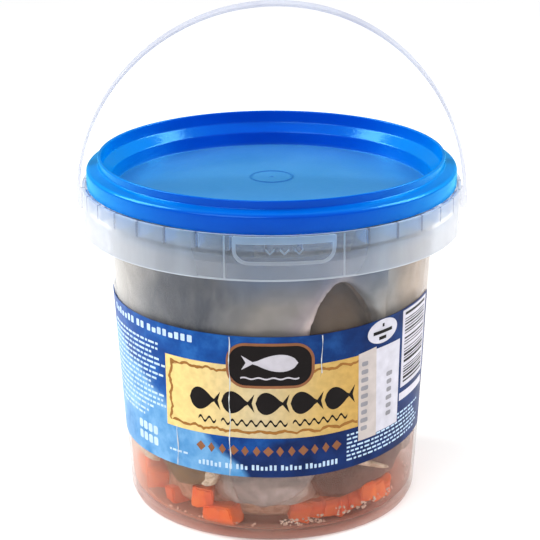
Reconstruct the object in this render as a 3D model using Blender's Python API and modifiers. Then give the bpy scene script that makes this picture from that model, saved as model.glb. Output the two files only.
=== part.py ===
"""A clear bucket of rolled pickled herring, with its press-on lid, bail handle and wrap-round label.

Metres, +Z up. The front is -Y and +X is to its right. The origin is on the ground, at the centre of
the base. Azimuths are degrees round the bucket, 0 at the front and positive to the right.
"""

import math
import random

import bmesh
import bpy
from mathutils import Matrix, Vector

MM = 0.001
STEPS_ROUND = 72
WELD = 0.00001
PLANE_TOLERANCE = 0.000001
# How far a piece reaches into the one that it is joined to
OVERLAP = 0.4
EDGE_ROUNDING = 0.3
# Faces that meet at less than this angle shade as one surface
SMOOTH_BELOW = 35

# Bucket wall: a cone whose outer radius grows with height
WALL_OUTER_AT_BASE = 45.9
WALL_TAPER = 0.0624
WALL_THICK = 0.9
FLOOR_UNDER = 1.2
FLOOR_TOP = 2.3
FLOOR_EDGE = 42.5
FOOT_INNER = 43.9
FOOT_OUTER = 44.9
FOOT_BEVEL = 0.5
CORNER_TOP = 2.4

# Collar: the skirt that guards the lid's edge, held off the wall by a flange and ribs
COLLAR_OUTER = 59.3
COLLAR_THICK = 1.0
COLLAR_TOP = 102.67
COLLAR_BOTTOM = 88.86
FLANGE_TOP = 97.5
FLANGE_UNDER = 96.5
RIB_COUNT = 36
RIB_OFFSET = -1.8
RIB_THICK = 0.8
RIB_TOP = 101.8
RIB_CLEAR_OF_PIVOT = 6.0

# Rim: the wall flares out under the lid's ledge and ends in a bead that the lid's lip grips under
RIM_WALL_OUTER = 52.3
RIM_FLARE_START = 104.1
RIM_FLARE_SHIFT = 0.5
RIM_TOP = 106.5
RIM_TOP_INNER = 54.1
RIM_EDGE = 56.3
RIM_BEAD_BOTTOM = 104.6

# Tear tab in the collar
TAB_LEFT = -11.1
TAB_RIGHT = 18.0
TAB_BOTTOM = 93.9
TAB_CORNER = 4.5
TAB_BORDER = 1.1
TAB_LIP_HEIGHT = 2.2
TAB_LIP_OUT = 0.4
TAB_BORDER_OUT = 0.3
TAB_SIDE_LINES = (-13.4, 20.5)
TAB_LINE_WIDTH = 0.5
TAB_LINE_OUT = 0.2
TAB_INSET = 0.3
CHEVRON_COUNT = 3
CHEVRON_SIZE = 2.6
CHEVRON_PITCH = 4.2
CHEVRON_STROKE = 0.7
WRAP_STEP = 2.5
RELIEF_PLATE = 1.0

# Lid: a sunk, domed panel, a sloping ledge, a stacking crest, a shoulder and the lip outside
LID_THICK = 0.9
LID_LEDGE_THICK = 0.7
LID_LIP_DRAFT = 0.1
LID_SHOULDER_ROUND = 0.7
LID_PANEL_RINGS = (0.4, 0.7)
LID_PANEL_EDGE = 49.6
LID_PANEL_Z = 100.6
LID_DOME = 2.9
LID_MARK_RADIUS = 6.5
LID_MARK_HEIGHT = 0.35
LID_MARK_HALF_WIDTH = 0.45
LID_LEDGE_INNER = 50.0
LID_LEDGE_INNER_Z = 104.9
LID_LEDGE_OUTER = 53.0
LID_LEDGE_OUTER_Z = 107.7
LID_CREST_INNER = 53.15
LID_CREST_OUTER = 54.12
LID_CREST_Z = 111.5
LID_CREST_FOOT_Z = 109.0
LID_SHOULDER = 57.1
LID_SHOULDER_Z = 108.2
LID_LIP_OUTER = 57.85
LID_LIP_INNER = 56.7
LID_LIP_BOTTOM = 102.6
LID_BEAD = 56.0
LID_BEAD_Z = 103.4
LID_BEAD_RISE = 0.8

# Bail handle: a flat strip bent into an arch on two click-in pins
BAIL_PIVOT_Z = 96.8
BAIL_OUTER_WIDTH = 61.2
BAIL_OUTER_HEIGHT = 62.0
BAIL_THICK = 1.0
BAIL_STRIP = 6.0
BAIL_LEAN = 1.5
BAIL_STEPS = 40
PIN_SIDES = 24
PAD_RADIUS = 3.5
PAD_INNER = 59.6
PAD_OUTER = 61.3
PIN_RADIUS = 2.1
PIN_HEAD_RADIUS = 3.0
PIN_HEAD_INNER = 57.0
PIN_HEAD_OUTER = 58.1
HOLE_RADIUS = 2.4
POCKET_RADIUS = 4.2
POCKET_INNER = 54.2
POCKET_SEAT = 58.4

# Label
LABEL_BOTTOM = 22.1
LABEL_TOP = 68.6
LABEL_LEFT = -106.0
LABEL_RIGHT = 72.0
LABEL_GAP = 0.25
LABEL_THICK = 0.3
LABEL_STEPS = 60

# Food: two layers of four rolls, with gherkins and diced carrot
FOOD_GAP = 0.35
FOOD_SEED = 11
CORE_BOTTOM = 3.2
CORE_TOP = 95.0
CORE_RADIUS_BOTTOM = 39.0
CORE_RADIUS_TOP = 42.5
CORE_SIDES = 36
ROLL_RADIUS = 20.5
ROLL_RING = 28.5
ROLL_SIDES = 22
FILLET_THICK = 4.5
ROLL_ROUNDING = 3.0
# Azimuth, bottom, top and the azimuth at which the fillet's loose end steps down
LOWER_ROLLS = ((-2, 10.3, 50, -16), (86, 13.0, 52, 40), (178, 9.0, 49, 150), (-92, 16.0, 53, -60))
UPPER_ROLLS = ((-34, 53, 96.5, 14), (56, 55, 96, 84), (146, 52, 97, 120), (-124, 56, 95.7, -90))
GHERKIN_RADIUS = 10.5
GHERKIN_HALF_LENGTH = 24.0
GHERKIN_PRESSED = 0.6
GHERKIN_SIDES = 16
GHERKIN_RINGS = 10
# Azimuth and height of a gherkin's tip, and which way it points
GHERKINS = ((25.0, 83.4, 1), (-36.0, 14.3, -1))
CARROT_SIZE = 6.2
CARROT_SPREAD = 0.15
CARROT_SPIN = 25.0
CARROT_TILT = 18.0
CARROT_RISE = 0.5
# Start azimuth, end azimuth, start height, end height and number of dice
CARROT_RUNS = (
    (-66, -48, 6.0, 10.5, 4),
    (-27, -27, 13.4, 13.4, 1),
    (-23, -16, 6.4, 6.4, 2),
    (9, 57, 6.5, 11.0, 9),
    (80, 285, 7.0, 7.0, 14),
)


def direction(azimuth):
    """Unit vector that points outwards at an azimuth."""
    angle = math.radians(azimuth)
    return Vector((math.sin(angle), -math.cos(angle), 0))


def wall_outer(height):
    return WALL_OUTER_AT_BASE + WALL_TAPER * height


def wall_inner(height):
    return wall_outer(height) - WALL_THICK


def clear_scene():
    for obj in list(bpy.data.objects):
        bpy.data.objects.remove(obj, do_unlink=True)


def new_collection(name):
    group = bpy.data.collections.new(name)
    bpy.context.scene.collection.children.link(group)
    return group


def new_material(name, color, roughness, alpha=1.0):
    made = bpy.data.materials.new(name)
    made.use_nodes = True
    shader = made.node_tree.nodes["Principled BSDF"]
    shader.inputs["Base Color"].default_value = (*color, 1)
    shader.inputs["Roughness"].default_value = roughness
    shader.inputs["Metallic"].default_value = 0.0
    shader.inputs["Alpha"].default_value = alpha
    made.diffuse_color = (*color, alpha)
    return made


def object_from_bmesh(name, bm, group):
    bmesh.ops.recalc_face_normals(bm, faces=bm.faces)
    mesh = bpy.data.meshes.new(name)
    bm.to_mesh(mesh)
    bm.free()
    obj = bpy.data.objects.new(name, mesh)
    group.objects.link(obj)
    return obj


def evaluated_mesh(obj):
    """The object's mesh as its modifiers leave it."""
    graph = bpy.context.evaluated_depsgraph_get()
    graph.update()
    return bpy.data.meshes.new_from_object(obj.evaluated_get(graph))


def turned(name, profile, group, steps=STEPS_ROUND, sweep=360.0):
    """Spin a profile of (radius, height) points in millimetres, which runs down its outer side."""
    mesh = bpy.data.meshes.new(name)
    points = [(radius * MM, 0, height * MM) for radius, height in profile]
    edges = [(i, i + 1) for i in range(len(points) - 1)]
    mesh.from_pydata(points, edges, [])
    obj = bpy.data.objects.new(name, mesh)
    group.objects.link(obj)
    screw = obj.modifiers.new("turn", "SCREW")
    screw.angle = math.radians(sweep)
    screw.steps = steps
    screw.render_steps = steps
    screw.use_merge_vertices = True
    screw.merge_threshold = WELD
    return obj


def cylinder_along_x(bm, radius, start, end, height):
    """Add a capped cylinder between two X places, all in millimetres."""
    place = Matrix.Translation(((start + end) / 2 * MM, 0, height * MM))
    turn = Matrix.Rotation(math.radians(90), 4, "Y")
    bmesh.ops.create_cone(
        bm,
        cap_ends=True,
        segments=PIN_SIDES,
        radius1=radius * MM,
        radius2=radius * MM,
        depth=abs(end - start) * MM,
        matrix=place @ turn,
    )


def add_box(bm, matrix, size):
    """Add a box of a size in millimetres, placed by a matrix."""
    scale = Matrix.Diagonal((size[0] * MM, size[1] * MM, size[2] * MM, 1))
    bmesh.ops.create_cube(bm, size=1.0, matrix=matrix @ scale)


def add_boolean(obj, tool, operation):
    """Cut or join with another object, which stays in the file as a hidden guide."""
    tool.hide_render = True
    tool.display_type = "WIRE"
    step = obj.modifiers.new(tool.name, "BOOLEAN")
    step.operation = operation
    step.solver = "EXACT"
    step.object = tool


def bucket_profile():
    """The bucket's section, from the middle of its floor over the rim and down to its underside."""
    collar_inner = COLLAR_OUTER - COLLAR_THICK
    soft = EDGE_ROUNDING
    return [
        (0, FLOOR_TOP),
        (FLOOR_EDGE, FLOOR_TOP),
        (wall_inner(0) - WALL_THICK, FLOOR_TOP + WALL_THICK),
        (wall_inner(2 * CORNER_TOP), 2 * CORNER_TOP),
        (wall_inner(FLANGE_TOP), FLANGE_TOP),
        (RIM_WALL_OUTER - WALL_THICK, RIM_FLARE_START),
        (RIM_TOP_INNER - soft, RIM_TOP - soft),
        (RIM_TOP_INNER, RIM_TOP),
        (RIM_EDGE - soft, RIM_TOP),
        (RIM_EDGE, RIM_TOP - soft),
        (RIM_EDGE, RIM_BEAD_BOTTOM + soft),
        (RIM_EDGE - WALL_THICK, RIM_BEAD_BOTTOM),
        (RIM_TOP_INNER, RIM_TOP - WALL_THICK),
        (RIM_WALL_OUTER, RIM_FLARE_START - RIM_FLARE_SHIFT),
        (RIM_WALL_OUTER, FLANGE_TOP),
        (collar_inner, FLANGE_TOP),
        (collar_inner, COLLAR_TOP - soft),
        (collar_inner + soft, COLLAR_TOP),
        (COLLAR_OUTER - soft, COLLAR_TOP),
        (COLLAR_OUTER, COLLAR_TOP - soft),
        (COLLAR_OUTER, COLLAR_BOTTOM + soft),
        (COLLAR_OUTER - soft, COLLAR_BOTTOM),
        (collar_inner, COLLAR_BOTTOM),
        (collar_inner, FLANGE_UNDER),
        (wall_outer(FLANGE_UNDER), FLANGE_UNDER),
        (wall_outer(CORNER_TOP), CORNER_TOP),
        (FOOT_OUTER + FOOT_BEVEL, FOOT_BEVEL),
        (FOOT_OUTER, 0),
        (FOOT_INNER, 0),
        (FOOT_INNER - FOOT_BEVEL, FLOOR_UNDER),
        (0, FLOOR_UNDER),
    ]


def lid_panel(radius):
    """Height of the lid's domed panel at a radius."""
    return LID_PANEL_Z + LID_DOME * (1 - (radius / LID_PANEL_EDGE) ** 2)


def lid_profile():
    """The lid's section, from the middle of its panel out to its lip and back underneath."""
    soft = EDGE_ROUNDING
    mark = LID_MARK_RADIUS
    mark_z = lid_panel(mark)
    panel_radii = [LID_PANEL_EDGE * part for part in LID_PANEL_RINGS]
    top = [(0, lid_panel(0))]
    top += [(mark - LID_MARK_HALF_WIDTH, mark_z), (mark, mark_z + LID_MARK_HEIGHT)]
    top += [(mark + LID_MARK_HALF_WIDTH, mark_z)]
    top += [(radius, lid_panel(radius)) for radius in panel_radii]
    top += [
        (LID_PANEL_EDGE, LID_PANEL_Z),
        (LID_LEDGE_INNER, LID_LEDGE_INNER_Z),
        (LID_LEDGE_OUTER, LID_LEDGE_OUTER_Z),
        (LID_CREST_INNER, LID_CREST_Z - soft),
        (LID_CREST_INNER + soft, LID_CREST_Z),
        (LID_CREST_OUTER - soft, LID_CREST_Z),
        (LID_CREST_OUTER, LID_CREST_Z - soft),
        (LID_CREST_OUTER, LID_CREST_FOOT_Z),
        (LID_SHOULDER, LID_SHOULDER_Z),
        (LID_LIP_OUTER - LID_LIP_DRAFT, LID_SHOULDER_Z - LID_SHOULDER_ROUND),
        (LID_LIP_OUTER, LID_LIP_BOTTOM),
    ]
    ledge_under = LID_LEDGE_OUTER_Z - LID_LEDGE_THICK
    under = [
        (LID_LIP_INNER, LID_LIP_BOTTOM),
        (LID_BEAD, LID_BEAD_Z),
        (LID_LIP_INNER, LID_BEAD_Z + LID_BEAD_RISE),
        (LID_LIP_INNER, ledge_under),
        (LID_LEDGE_OUTER + LID_LEDGE_THICK, ledge_under),
        (LID_LEDGE_INNER + LID_LEDGE_THICK, LID_LEDGE_INNER_Z - LID_LEDGE_THICK),
        (LID_PANEL_EDGE + LID_THICK, LID_PANEL_Z - LID_THICK),
    ]
    under += [(radius, lid_panel(radius) - LID_THICK) for radius in reversed(panel_radii)]
    under += [(0, lid_panel(0) - LID_THICK)]
    return top + under


def make_ribs(guides):
    """Upright ribs that tie the collar to the rim wall, left out where the pivots are."""
    bm = bmesh.new()
    inner = RIM_WALL_OUTER - OVERLAP
    outer = COLLAR_OUTER - COLLAR_THICK + OVERLAP
    bottom = FLANGE_TOP - OVERLAP
    for index in range(RIB_COUNT):
        azimuth = RIB_OFFSET + index * 360 / RIB_COUNT
        if abs(abs((azimuth + 180) % 360 - 180) - 90) < RIB_CLEAR_OF_PIVOT:
            continue
        turn = Matrix.Rotation(math.radians(azimuth), 4, "Z")
        centre = Vector((0, -(inner + outer) / 2 * MM, (bottom + RIB_TOP) / 2 * MM))
        add_box(bm, turn @ Matrix.Translation(centre), (RIB_THICK, outer - inner, RIB_TOP - bottom))
    return object_from_bmesh("ribs", bm, guides)


def make_pivot_cutters(guides):
    """A hole in the collar and a clear pocket behind it, on each side."""
    bm_hole = bmesh.new()
    bm_pocket = bmesh.new()
    for side in (-1, 1):
        cylinder_along_x(bm_hole, HOLE_RADIUS, side * PIN_HEAD_INNER, side * PAD_OUTER, BAIL_PIVOT_Z)
        cylinder_along_x(bm_pocket, POCKET_RADIUS, side * POCKET_INNER, side * POCKET_SEAT, BAIL_PIVOT_Z)
    return (
        object_from_bmesh("pivot_pockets", bm_pocket, guides),
        object_from_bmesh("pivot_holes", bm_hole, guides),
    )


def flat_shape(outline, thickness, name):
    """A flat plate from a closed outline of (x, z) points, all in millimetres."""
    curve = bpy.data.curves.new(name, "CURVE")
    curve.dimensions = "2D"
    curve.fill_mode = "BOTH"
    curve.extrude = thickness / 2 * MM
    spline = curve.splines.new("POLY")
    spline.points.add(len(outline) - 1)
    for point, (x, z) in zip(spline.points, outline):
        point.co = (x * MM, z * MM, 0, 1)
    spline.use_cyclic_u = True
    flat = bpy.data.objects.new(name, curve)
    bpy.context.scene.collection.objects.link(flat)
    mesh = evaluated_mesh(flat)
    bpy.data.objects.remove(flat, do_unlink=True)
    bm = bmesh.new()
    bm.from_mesh(mesh)
    bpy.data.meshes.remove(mesh)
    bmesh.ops.remove_doubles(bm, verts=bm.verts, dist=WELD)
    return bm


def wrap_on_collar(bm, azimuth, out):
    """Bend a flat plate round the collar, so that it stands out by some millimetres."""
    step = WRAP_STEP * MM
    low = min(v.co.x for v in bm.verts)
    high = max(v.co.x for v in bm.verts)
    place = math.floor(low / step) * step + step
    while place < high:
        geometry = bm.verts[:] + bm.edges[:] + bm.faces[:]
        bmesh.ops.bisect_plane(bm, geom=geometry, plane_co=(place, 0, 0), plane_no=(1, 0, 0), dist=PLANE_TOLERANCE)
        place += step
    for vert in bm.verts:
        radius = COLLAR_OUTER * MM + (out if vert.co.z > 0 else -OVERLAP) * MM
        turn = math.radians(azimuth) + vert.co.x / (COLLAR_OUTER * MM)
        height = vert.co.y
        vert.co = (radius * math.sin(turn), -radius * math.cos(turn), height)


def arc_points(centre_x, centre_z, radius, start, end, count=6):
    points = []
    for index in range(count + 1):
        angle = math.radians(start + (end - start) * index / count)
        points.append((centre_x + radius * math.cos(angle), centre_z + radius * math.sin(angle)))
    return points


def tab_outline(inset, top):
    """The tab's U shape: straight sides and two round lower corners."""
    half = math.radians(TAB_RIGHT - TAB_LEFT) / 2 * COLLAR_OUTER - inset
    bottom = TAB_BOTTOM + inset
    corner = TAB_CORNER - inset
    left = arc_points(-half + corner, bottom + corner, corner, 180, 270)
    right = arc_points(half - corner, bottom + corner, corner, 270, 360)
    return [(-half, top)] + left + right + [(half, top)]


def make_tab_relief(guides):
    """The tear tab's raised border, its lip, its two side lines and three plain chevrons."""
    middle = (TAB_LEFT + TAB_RIGHT) / 2
    top = COLLAR_TOP - EDGE_ROUNDING
    lip_bottom = top - TAB_LIP_HEIGHT
    pieces = []

    outer = tab_outline(0, top - TAB_INSET)
    inner = tab_outline(TAB_BORDER, top - TAB_INSET)
    border = flat_shape(outer + inner[::-1], RELIEF_PLATE, "border")
    pieces.append((border, middle, TAB_BORDER_OUT))

    half = math.radians(TAB_RIGHT - TAB_LEFT) / 2 * COLLAR_OUTER - TAB_INSET
    lip_outline = [(-half, lip_bottom), (half, lip_bottom), (half, top), (-half, top)]
    pieces.append((flat_shape(lip_outline, RELIEF_PLATE, "lip"), middle, TAB_LIP_OUT))

    for azimuth in TAB_SIDE_LINES:
        side = TAB_LINE_WIDTH / 2
        foot = COLLAR_BOTTOM + EDGE_ROUNDING + TAB_INSET
        line = [(-side, foot), (side, foot), (side, top), (-side, top)]
        pieces.append((flat_shape(line, RELIEF_PLATE, "line"), azimuth, TAB_LINE_OUT))

    size = CHEVRON_SIZE / 2
    centre_z = (TAB_BOTTOM + TAB_BORDER + lip_bottom) / 2
    for index in range(CHEVRON_COUNT):
        x = (index - (CHEVRON_COUNT - 1) / 2) * CHEVRON_PITCH
        stroke = CHEVRON_STROKE
        chevron = [
            (x - size, centre_z + size / 2),
            (x, centre_z - size / 2),
            (x + size, centre_z + size / 2),
            (x + size, centre_z + size / 2 + stroke),
            (x, centre_z - size / 2 + stroke),
            (x - size, centre_z + size / 2 + stroke),
        ]
        pieces.append((flat_shape(chevron, RELIEF_PLATE, "chevron"), middle, TAB_LINE_OUT))

    made = []
    for number, (bm, azimuth, out) in enumerate(pieces):
        wrap_on_collar(bm, azimuth, out)
        made.append(object_from_bmesh(f"tab_relief_{number}", bm, guides))
    return made


def make_bucket(group, guides):
    bucket = turned("bucket", bucket_profile(), group)
    add_boolean(bucket, make_ribs(guides), "UNION")
    for piece in make_tab_relief(guides):
        add_boolean(bucket, piece, "UNION")
    for cutter in make_pivot_cutters(guides):
        add_boolean(bucket, cutter, "DIFFERENCE")
    bucket.data.materials.append(new_material("clear_plastic", (0.86, 0.89, 0.91), 0.25, 0.35))
    return bucket


def make_lid(group):
    lid = turned("lid", lid_profile(), group)
    lid.data.materials.append(new_material("blue_plastic", (0.0, 0.16, 0.72), 0.25))
    return lid


def make_label(group):
    """The label goes half way round the wall, standing off it by its gap."""
    levels = (LABEL_TOP, LABEL_BOTTOM)
    profile = [(wall_outer(z) + LABEL_GAP, z) for z in levels]
    label = turned("label", profile, group, LABEL_STEPS, LABEL_RIGHT - LABEL_LEFT)
    label.rotation_euler.z = math.radians(LABEL_LEFT - 90)
    wall = label.modifiers.new("paper", "SOLIDIFY")
    wall.thickness = LABEL_THICK * MM
    wall.offset = 1.0
    label.data.materials.append(new_material("label_paper", (0.03, 0.13, 0.42), 0.4))
    return label


def arch_point(half_width, half_height, angle):
    """A point of the bail, whose top leans a little to the right."""
    rise = math.sin(angle)
    return half_width * math.cos(angle) + BAIL_LEAN * rise**2, BAIL_PIVOT_Z + half_height * rise


def make_handle(group):
    """The bail's strip, its two round ends and the click-in pins that hold it in the collar."""
    angles = [math.pi * i / BAIL_STEPS for i in range(BAIL_STEPS + 1)]
    outer = [arch_point(BAIL_OUTER_WIDTH, BAIL_OUTER_HEIGHT, a) for a in angles]
    thin = BAIL_THICK
    inner = [arch_point(BAIL_OUTER_WIDTH - thin, BAIL_OUTER_HEIGHT - thin, a) for a in angles]
    bm = flat_shape(outer + inner[::-1], BAIL_STRIP, "strip")
    upright = Matrix.Rotation(math.radians(90), 4, "X")
    bmesh.ops.transform(bm, matrix=upright, verts=bm.verts)
    pivot = Vector((0, 0, BAIL_PIVOT_Z * MM))
    bmesh.ops.translate(bm, vec=-pivot, verts=bm.verts)
    handle = object_from_bmesh("handle", bm, group)
    handle.location = pivot

    ends = new_collection("handle_ends")
    for side in (-1, 1):
        spans = (
            (PAD_RADIUS, PAD_INNER, PAD_OUTER),
            (PIN_RADIUS, PIN_HEAD_INNER + OVERLAP, PAD_OUTER - OVERLAP),
            (PIN_HEAD_RADIUS, PIN_HEAD_INNER, PIN_HEAD_OUTER),
        )
        for number, (radius, start, end) in enumerate(spans):
            bm = bmesh.new()
            cylinder_along_x(bm, radius, side * start, side * end, 0)
            piece = object_from_bmesh(f"handle_end_{side}_{number}", bm, ends)
            piece.location = pivot
    union_collection(handle, ends)
    handle.data.materials.append(new_material("milky_plastic", (0.88, 0.9, 0.92), 0.3, 0.6))
    return handle


def union_collection(obj, pieces):
    """Join every object of a collection to one object, apply that, and remove the pieces."""
    step = obj.modifiers.new("union", "BOOLEAN")
    step.operation = "UNION"
    step.solver = "EXACT"
    step.operand_type = "COLLECTION"
    step.collection = pieces
    step.use_self = False
    joined = evaluated_mesh(obj)
    obj.modifiers.remove(step)
    obj.data = joined
    for piece in list(pieces.objects):
        bpy.data.objects.remove(piece, do_unlink=True)
    bpy.data.collections.remove(pieces)


def keep_outer_body(mesh):
    """Keep only the largest connected body, which fills sealed hollows and drops loose scraps."""
    bm = bmesh.new()
    bm.from_mesh(mesh)
    waiting = set(bm.verts)
    largest = set()
    while waiting:
        front = [waiting.pop()]
        body = set(front)
        while front:
            vert = front.pop()
            for edge in vert.link_edges:
                other = edge.other_vert(vert)
                if other in waiting:
                    waiting.remove(other)
                    body.add(other)
                    front.append(other)
        if len(body) > len(largest):
            largest = body
    loose = [vert for vert in bm.verts if vert not in largest]
    bmesh.ops.delete(bm, geom=loose, context="VERTS")
    bm.to_mesh(mesh)
    bm.free()


def make_roll(name, azimuth, bottom, top, seam, group):
    """A rolled fillet stood on end: a drum with soft ends whose side steps at its loose end."""
    outline = []
    for index in range(ROLL_SIDES):
        turn = index / ROLL_SIDES
        radius = ROLL_RADIUS - FILLET_THICK * turn**3
        angle = math.radians(seam - 90) + turn * math.tau
        outline.append((radius * math.cos(angle), radius * math.sin(angle)))
    soft = ROLL_ROUNDING
    shrunk = 1 - soft / ROLL_RADIUS
    levels = ((bottom, shrunk), (bottom + soft, 1), (top - soft, 1), (top, shrunk))
    bm = bmesh.new()
    first_z, first_scale = levels[0]
    ring = [bm.verts.new((x * first_scale * MM, y * first_scale * MM, first_z * MM)) for x, y in outline]
    bottom_face = bm.faces.new(ring)
    top_face = bottom_face
    for (z, scale), (_, last_scale) in zip(levels[1:], levels):
        grown = bmesh.ops.extrude_face_region(bm, geom=[top_face])
        if top_face is not bottom_face:
            bm.faces.remove(top_face)
        top_face = next(item for item in grown["geom"] if isinstance(item, bmesh.types.BMFace))
        for vert in top_face.verts:
            vert.co.x *= scale / last_scale
            vert.co.y *= scale / last_scale
            vert.co.z = z * MM
    bmesh.ops.translate(bm, vec=direction(azimuth) * ROLL_RING * MM, verts=bm.verts)
    return object_from_bmesh(name, bm, group)


def make_gherkin(name, azimuth, tip, points_up, group):
    """A plump gherkin against the wall, with its tip at a height."""
    bm = bmesh.new()
    stretch = Matrix.Diagonal((GHERKIN_RADIUS * MM, GHERKIN_RADIUS * MM, GHERKIN_HALF_LENGTH * MM, 1))
    centre_z = tip - points_up * GHERKIN_HALF_LENGTH
    centre = direction(azimuth) * (wall_inner(centre_z) - GHERKIN_RADIUS + GHERKIN_PRESSED) * MM
    centre.z = centre_z * MM
    bmesh.ops.create_uvsphere(
        bm, u_segments=GHERKIN_SIDES, v_segments=GHERKIN_RINGS, radius=1, matrix=Matrix.Translation(centre) @ stretch
    )
    return object_from_bmesh(name, bm, group)


def make_carrots(group):
    """Runs of diced carrot that lie against the wall, low in the bucket."""
    draw = random.Random(FOOD_SEED)
    number = 0
    for start_azimuth, end_azimuth, start_z, end_z, count in CARROT_RUNS:
        for index in range(count):
            along = index / max(count - 1, 1)
            azimuth = start_azimuth + (end_azimuth - start_azimuth) * along
            height = start_z + (end_z - start_z) * along + draw.uniform(-CARROT_RISE, CARROT_RISE)
            radius = wall_inner(height) - CARROT_SIZE / math.sqrt(2)
            place = Matrix.Translation(direction(azimuth) * radius * MM + Vector((0, 0, height * MM)))
            spin = Matrix.Rotation(math.radians(azimuth + draw.uniform(-CARROT_SPIN, CARROT_SPIN)), 4, "Z")
            tilt = Matrix.Rotation(math.radians(draw.uniform(-CARROT_TILT, CARROT_TILT)), 4, "Y")
            sides = [CARROT_SIZE * draw.uniform(1 - CARROT_SPREAD, 1 + CARROT_SPREAD) for _ in range(3)]
            bm = bmesh.new()
            add_box(bm, place @ spin @ tilt, sides)
            object_from_bmesh(f"carrot_{number}", bm, group)
            number += 1


def make_food(group, guides):
    """One solid: a core with the rolls, gherkins and dice fused on, cut to the bucket's inside."""
    core_profile = [
        (0, CORE_TOP),
        (CORE_RADIUS_TOP, CORE_TOP),
        (CORE_RADIUS_BOTTOM, CORE_BOTTOM),
        (0, CORE_BOTTOM),
    ]
    food = turned("rollmops", core_profile, group, CORE_SIDES)
    food.data = evaluated_mesh(food)
    food.modifiers.clear()

    pieces = new_collection("food_pieces")
    for number, (azimuth, bottom, top, seam) in enumerate(LOWER_ROLLS + UPPER_ROLLS):
        make_roll(f"roll_{number}", azimuth, bottom, top, seam, pieces)
    for number, (azimuth, tip, points_up) in enumerate(GHERKINS):
        make_gherkin(f"gherkin_{number}", azimuth, tip, points_up, pieces)
    make_carrots(pieces)
    union_collection(food, pieces)

    def inside(height):
        return wall_inner(height) - FOOD_GAP

    floor = FLOOR_TOP + FOOD_GAP
    corner = 3 * CORNER_TOP
    limit_profile = [
        (0, COLLAR_TOP),
        (inside(COLLAR_TOP), COLLAR_TOP),
        (inside(corner), corner),
        (inside(floor) - CORNER_TOP, floor),
        (0, floor),
    ]
    limit = turned("inside_of_bucket", limit_profile, guides)
    add_boolean(food, limit, "INTERSECT")
    trimmed = evaluated_mesh(food)
    food.modifiers.clear()
    food.data = trimmed
    keep_outer_body(trimmed)
    food.data.materials.append(new_material("herring", (0.62, 0.6, 0.56), 0.5))
    return food


def shade_round(obj):
    obj.data.shade_smooth()
    obj.data.set_sharp_from_angle(angle=math.radians(SMOOTH_BELOW))


def main():
    clear_scene()
    model = new_collection("rollmop_bucket")
    guides = new_collection("guides")
    made = (
        make_bucket(model, guides),
        make_lid(model),
        make_label(model),
        make_food(model, guides),
        make_handle(model),
    )
    for obj in made:
        if obj.data.polygons:
            shade_round(obj)


main()
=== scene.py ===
"""The looks of a clear bucket of rolled pickled herring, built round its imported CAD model.

The front is -Y and +X is to its right. Azimuths are degrees round the bucket, 0 at the front and
positive to the right. Sizes are in millimetres and become metres where a mesh is made.
"""

import math
import random

import bmesh
import bpy
from mathutils import Matrix, Vector, noise

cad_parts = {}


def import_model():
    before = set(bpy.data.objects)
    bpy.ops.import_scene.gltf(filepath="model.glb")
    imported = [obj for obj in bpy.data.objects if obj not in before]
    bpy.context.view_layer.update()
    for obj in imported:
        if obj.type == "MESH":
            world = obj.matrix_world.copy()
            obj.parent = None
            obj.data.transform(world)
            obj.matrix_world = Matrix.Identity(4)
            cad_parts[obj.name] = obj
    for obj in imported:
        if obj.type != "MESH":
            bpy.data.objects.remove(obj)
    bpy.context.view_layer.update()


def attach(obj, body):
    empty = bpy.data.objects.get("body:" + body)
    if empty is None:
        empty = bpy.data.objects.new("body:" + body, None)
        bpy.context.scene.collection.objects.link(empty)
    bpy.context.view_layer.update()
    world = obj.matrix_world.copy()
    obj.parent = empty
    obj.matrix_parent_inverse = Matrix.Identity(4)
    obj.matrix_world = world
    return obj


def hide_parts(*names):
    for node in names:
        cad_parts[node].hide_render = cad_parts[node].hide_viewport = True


MM = 0.001
STEPS_ROUND = 216
# How far a piece reaches into the one that it is joined to
OVERLAP = 0.4
# Faces that meet at less than this angle, in degrees, shade as one surface
SMOOTH_BELOW = 35
SMOOTH_MOULDED = 30
SMOOTH_SOFT = 50
SMOOTH_PRINT = 60
# The usual range of a noise's values
NOISE_LOW = 0.3
NOISE_HIGH = 0.7

# Camera, fitted to the rims in the photograph: metres, degrees down, radians of roll, and lens in mm
CAMERA_PLACE = (-0.0006, -0.5879, 0.2699)
CAMERA_PITCH = 18.55
CAMERA_ROLL = -0.0036
CAMERA_LENS = 129.9
CAMERA_SENSOR = 36.0

# Studio: places in metres, power in watts and angles in degrees
SIDE_LIGHTS = (("left_light", (-0.62, 0.14, 0.62)), ("right_light", (0.64, 0.14, 0.62)))
SIDE_LIGHT_TARGET = (0, 0, 0.08)
SIDE_LIGHT_SIZE = (0.3, 0.5)
SIDE_LIGHT_POWER = 6.0
KEY_DIRECTION = (0.45, 0.7, -0.9)
KEY_STRENGTH = 1.1
KEY_ANGLE = 40
SURROUND_STRENGTH = 0.5
FLOOR_RADIUS = 3000
CLEAR_BOUNCES = 32

# Bucket wall: a cone whose outer radius grows with height
WALL_OUTER_AT_BASE = 45.9
WALL_TAPER = 0.0624
WALL_THICK = 0.9
FLOOR_UNDER = 1.2
FLOOR_TOP = 2.3
FLOOR_EDGE = 42.5
FOOT_INNER = 43.9
FOOT_OUTER = 44.9
FOOT_BEVEL = 0.5
CORNER_TOP = 2.4

# Collar: the skirt that guards the lid's edge, held off the wall by a flange and ribs
COLLAR_OUTER = 59.3
COLLAR_THICK = 1.0
COLLAR_TOP = 102.67
COLLAR_BOTTOM = 88.86
FLANGE_TOP = 97.5
FLANGE_UNDER = 96.5
RIB_COUNT = 36
RIB_OFFSET = -1.8
RIB_THICK = 0.8
RIB_TOP = 101.8
RIB_CLEAR_OF_PIVOT = 6.0

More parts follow.
